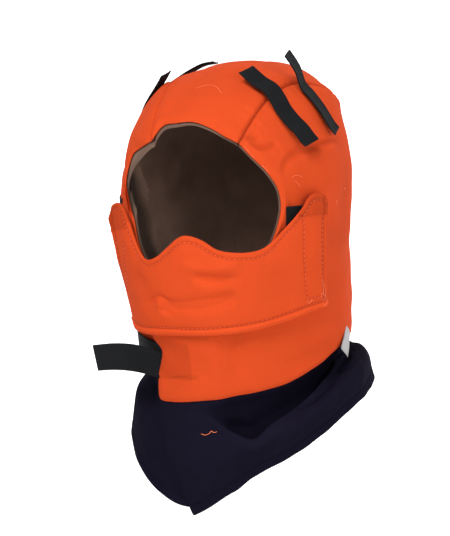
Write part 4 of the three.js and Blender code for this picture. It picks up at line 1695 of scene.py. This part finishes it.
class StageSettings(bpy.types.PropertyGroup):
    """Camera, floor and light."""

    azimuth: angle_of("Azimuth", "Turn of the camera round the object", 22)
    elevation: angle_of("Elevation", "Rise of the camera", 10)
    distance: length_of("Distance", "Camera to the aim point", 1.1, min=0.3)
    floor_drop: length_of("Floor", "Depth of the floor below the origin", FLOOR_GAP - CAD_BOX[0][2])
    floor_glow: strength_of("Floor glow", "Light that the floor gives off behind the object", 1.0)
    key_power: power_of("Key light", "Power of the main light", 34.0)
    fill_power: power_of("Fill light", "Power of the side light", 12.0)
    sky: strength_of("Sky", "Brightness of the white surroundings", 0.15)


# Operators

class LINER_OT_hood(bpy.types.Operator):
    """Make the padded orange panels of the hood and the loose threads on them"""

    bl_idname = "liner.hood"
    bl_label = "Hood"

    def execute(self, context):
        cotton = orange_cotton(context.scene)
        outer, inner, chart, tone = crown_shell()
        made = cloth_object("crown_panel_cloth", outer, inner, chart, {"tone": tone})
        dress(made, cotton, "crown_panel")
        plan = (outer[..., 0] / CHART, outer[..., 1])
        threads = [loose_threads(CROWN_THREADS, plan, outer)]
        for side in ("left", "right"):
            outer, inner, chart, running, tone = side_shell(side)
            made = cloth_object(f"side_panel_{side}_cloth", outer, inner, running, {"tone": tone})
            dress(made, cotton, f"side_panel_{side}")
            if side == "left":
                threads.append(loose_threads(SIDE_THREADS, chart, outer))
        dress(quad_object("hood_threads", *joined(threads)), pale_thread(context.scene))
        return {"FINISHED"}


class LINER_OT_lining(bpy.types.Operator):
    """Make the brown lining behind the crown and both sides"""

    bl_idname = "liner.lining"
    bl_label = "Lining"

    def execute(self, context):
        brown = made_once("brown_lining", lining_cloth, context.scene.liner_hood.lining, pitch=1.3)
        made = cloth_object("lining_crown_cloth", *lining_crown_wall())
        dress(made, brown, "lining_crown")
        for side in ("left", "right"):
            made = cloth_object(f"lining_{side}_cloth", *lining_side_wall(side))
            dress(made, brown, f"lining_{side}")
        return {"FINISHED"}


class LINER_OT_flap(bpy.types.Operator):
    """Make the padded face flap and its stitching"""

    bl_idname = "liner.flap"
    bl_label = "Face flap"

    def execute(self, context):
        settings = context.scene.liner_hood
        outer, inner, chart, running, tone, distances = flap_wall()
        made = cloth_object("face_flap_cloth", outer, inner, running, {"tone": tone})
        dress(made, orange_cotton(context.scene), "face_flap")
        length = settings.stitch_length / MM
        gap = settings.stitch_gap / MM
        sewn = quad_object("flap_stitches", *flap_stitches(outer, chart, distances, length, gap))
        dress(sewn, made_once("stitching", thread_finish, settings.stitching))
        ends = quad_object("flap_threads", *loose_threads(FLAP_THREADS, chart, outer))
        dress(ends, pale_thread(context.scene))
        return {"FINISHED"}


class LINER_OT_flap_tape(bpy.types.Operator):
    """Make the loop patches on the hood and the hook strips behind the flap"""

    bl_idname = "liner.flap_tape"
    bl_label = "Flap tape"

    def execute(self, context):
        black = black_tape(context.scene)
        for side in ("left", "right"):
            loop = cloth_object(f"flap_loop_{side}_tape", *loop_patch(FLAP_LOOPS[side]))
            dress(loop, black, f"flap_loop_{side}")
            hook = cloth_object(f"flap_hook_{side}_tape", *hook_strip(HOOK_BOXES[side]))
            dress(hook, black, f"flap_hook_{side}")
        return {"FINISHED"}


class LINER_OT_closure(bpy.types.Operator):
    """Make the throat's closure tape and the loop patch that it fastens to"""

    bl_idname = "liner.closure"
    bl_label = "Throat closure"

    def execute(self, context):
        black = black_tape(context.scene)
        loop = cloth_object("closure_loop_tape", *loop_patch(CLOSURE_LOOP))
        dress(loop, black, "closure_loop")
        dress(cloth_object("closure_tape_tape", *closure_wall()), black, "closure_tape")
        return {"FINISHED"}


class LINER_OT_cape(bpy.types.Operator):
    """Make the navy cape round the neck"""

    bl_idname = "liner.cape"
    bl_label = "Cape"

    def execute(self, context):
        outer, inner, chart, running, tone = cape_wall()
        made = cloth_object("cape_cloth", outer, inner, running, {"tone": tone})
        dress(made, navy_cotton(context.scene), "cape")
        line = on_cloth(CAPE_THREAD, CAPE_THREAD_POINTS, chart, outer, CAPE_THREAD_LIFT)
        thread = quad_object("cape_thread", *thread_tube(line, CAPE_THREAD_THICKNESS))
        dress(thread, pale_thread(context.scene))
        return {"FINISHED"}


class LINER_OT_straps(bpy.types.Operator):
    """Make the four crown straps for the helmet's suspension"""

    bl_idname = "liner.straps"
    bl_label = "Crown straps"

    def execute(self, context):
        black = black_tape(context.scene)
        for name, form in STRAPS.items():
            dress(cloth_object(f"{name}_tape", *strap_wall(form)), black, name)
        return {"FINISHED"}


class LINER_OT_label(bpy.types.Operator):
    """Make the bare label at the neck seam"""

    bl_idname = "liner.label"
    bl_label = "Label"

    def execute(self, context):
        ribbon = made_once("white_ribbon", ribbon_finish, context.scene.liner_tape.white, pitch=0.6)
        dress(cloth_object("label_ribbon", *label_wall()), ribbon, "label")
        return {"FINISHED"}


# Stage

# The photograph's frame: its size, the aim point, the pixel that shows it and the size of a pixel there
FRAME_PIXELS = (450, 536)
AIM = Vector((0, 0, -0.185))
AIM_PIXEL = (236, 276)
PIXEL_SIZE = 0.0009
SENSOR = 36.0

# Lights, and the floor's sweep in millimetres, which glows fully from a run behind the object
WHITE = (1, 1, 1)
KEY_PLACE = (-0.1, -1.5, 1.25)
FILL_PLACE = (1.6, -1.3, 0.35)
LIGHT_SIZE = 0.8
FLOOR_REACH = 20000
FLOOR_RUN = np.linspace(-500, 4500, 21)
SWEEP_START = 5000
SWEEP_RADIUS = 1500
SWEEP_TURNS = np.linspace(0, np.pi / 2, 23)
WALL_HEIGHT = 12000
SWEEP_COLUMNS = 5
GLOW_RUN = (0, 900)


def add_camera(settings):
    """A camera at the photograph's angle, moved sideways so that the aim point falls on its pixel."""
    turn = settings.azimuth
    rise = settings.elevation
    right = Vector((np.cos(turn), np.sin(turn), 0))
    back = Vector((np.sin(turn) * np.cos(rise), -np.cos(turn) * np.cos(rise), np.sin(rise)))
    up = back.cross(right)
    off_right = (AIM_PIXEL[0] - FRAME_PIXELS[0] / 2) * PIXEL_SIZE
    off_down = (AIM_PIXEL[1] - FRAME_PIXELS[1] / 2) * PIXEL_SIZE
    aim = AIM - right * off_right + up * off_down
    camera = bpy.data.cameras.new("camera")
    camera.sensor_width = SENSOR
    camera.lens = SENSOR * settings.distance / (PIXEL_SIZE * max(FRAME_PIXELS))
    made = bpy.data.objects.new("camera", camera)
    turned = Matrix((right, up, back)).transposed().to_4x4()
    made.matrix_world = Matrix.Translation(aim + back * settings.distance) @ turned
    bpy.context.scene.collection.objects.link(made)
    bpy.context.scene.camera = made


def add_light(name, place, power):
    """A square area light that faces the aim point."""
    light = bpy.data.lights.new(name, "AREA")
    light.size = LIGHT_SIZE
    light.energy = power
    made = bpy.data.objects.new(name, light)
    made.location = place
    made.rotation_euler = (AIM - Vector(place)).to_track_quat("-Z", "Y").to_euler()
    bpy.context.scene.collection.objects.link(made)


def floor_finish(name, glow):
    """Matt white floor, very slightly clouded, that glows behind the object so that it stays white."""
    finish = Finish(name)
    cloud = finish.noise(grain=0.4, detail=2.0)
    behind = finish.mix(finish.mark("glow"), rgba(WHITE, 0), rgba(WHITE))
    return finish.shade({
        "Base Color": finish.mix(cloud, rgba(WHITE, 0.9), rgba(WHITE, 0.93)),
        "Roughness": 0.9,
        "Specular IOR Level": 0.1,
        "Emission Color": behind,
        "Emission Strength": glow,
    })


def studio_sweep(drop):
    """A floor that turns up into a wall far behind: a quarter circle between two straight runs."""
    far = SWEEP_START + SWEEP_RADIUS * np.append(np.sin(SWEEP_TURNS), 1)
    rise = np.append(SWEEP_RADIUS * (1 - np.cos(SWEEP_TURNS)), WALL_HEIGHT)
    depth = np.concatenate([[-FLOOR_REACH], FLOOR_RUN, far])
    height = np.concatenate([np.zeros(len(depth) - len(rise)), rise]) - drop
    sides = np.linspace(-FLOOR_REACH, FLOOR_REACH, SWEEP_COLUMNS)
    across, depth = np.meshgrid(sides, depth)
    points = np.stack([across, depth, np.broadcast_to(height[:, None], depth.shape)], axis=-1)
    glow = ease(depth, *GLOW_RUN)
    return points.reshape(-1, 3), quads_of(*depth.shape), {"glow": glow.ravel()}


class LINER_OT_stage(bpy.types.Operator):
    """Make the pale floor, the white surroundings, the soft lights and the camera"""

    bl_idname = "liner.stage"
    bl_label = "Stage"

    def execute(self, context):
        settings = context.scene.liner_stage
        points, quads, marks = studio_sweep(settings.floor_drop / MM)
        floor = quad_object("floor", points, quads, marks=marks, closed=False)
        floor.data.materials.append(floor_finish("pale_floor", settings.floor_glow))
        world = bpy.data.worlds.new("studio")
        world.use_nodes = True
        sky = world.node_tree.nodes["Background"]
        sky.inputs["Color"].default_value = rgba(WHITE)
        sky.inputs["Strength"].default_value = settings.sky
        context.scene.world = world
        context.scene.view_settings.view_transform = "Standard"
        add_light("key", KEY_PLACE, settings.key_power)
        add_light("fill", FILL_PLACE, settings.fill_power)
        add_camera(settings)
        return {"FINISHED"}


class LINER_PT_panel(bpy.types.Panel):
    """Lists the liner's pieces in the order in which they are made"""

    bl_idname = "LINER_PT_panel"
    bl_label = "Hard Hat Liner"
    bl_space_type = "VIEW_3D"
    bl_region_type = "UI"
    bl_category = "Liner"

    def draw(self, context):
        for operator in OPERATORS:
            self.layout.operator(operator.bl_idname)


OPERATORS = (
    LINER_OT_stage,
    LINER_OT_hood,
    LINER_OT_lining,
    LINER_OT_flap,
    LINER_OT_flap_tape,
    LINER_OT_closure,
    LINER_OT_cape,
    LINER_OT_straps,
    LINER_OT_label,
)
SETTINGS = {"liner_hood": HoodSettings, "liner_tape": TapeSettings, "liner_stage": StageSettings}


def register():
    for made in (*SETTINGS.values(), *OPERATORS, LINER_PT_panel):
        bpy.utils.register_class(made)
    for name, group in SETTINGS.items():
        setattr(bpy.types.Scene, name, PointerProperty(type=group))


def unregister():
    for name in SETTINGS:
        delattr(bpy.types.Scene, name)
    for made in (LINER_PT_panel, *reversed(OPERATORS), *reversed(SETTINGS.values())):
        bpy.utils.unregister_class(made)


def main():
    register()
    for operator in OPERATORS:
        group, name = operator.bl_idname.split(".")
        getattr(getattr(bpy.ops, group), name)()


if __name__ == "__main__":
    main()
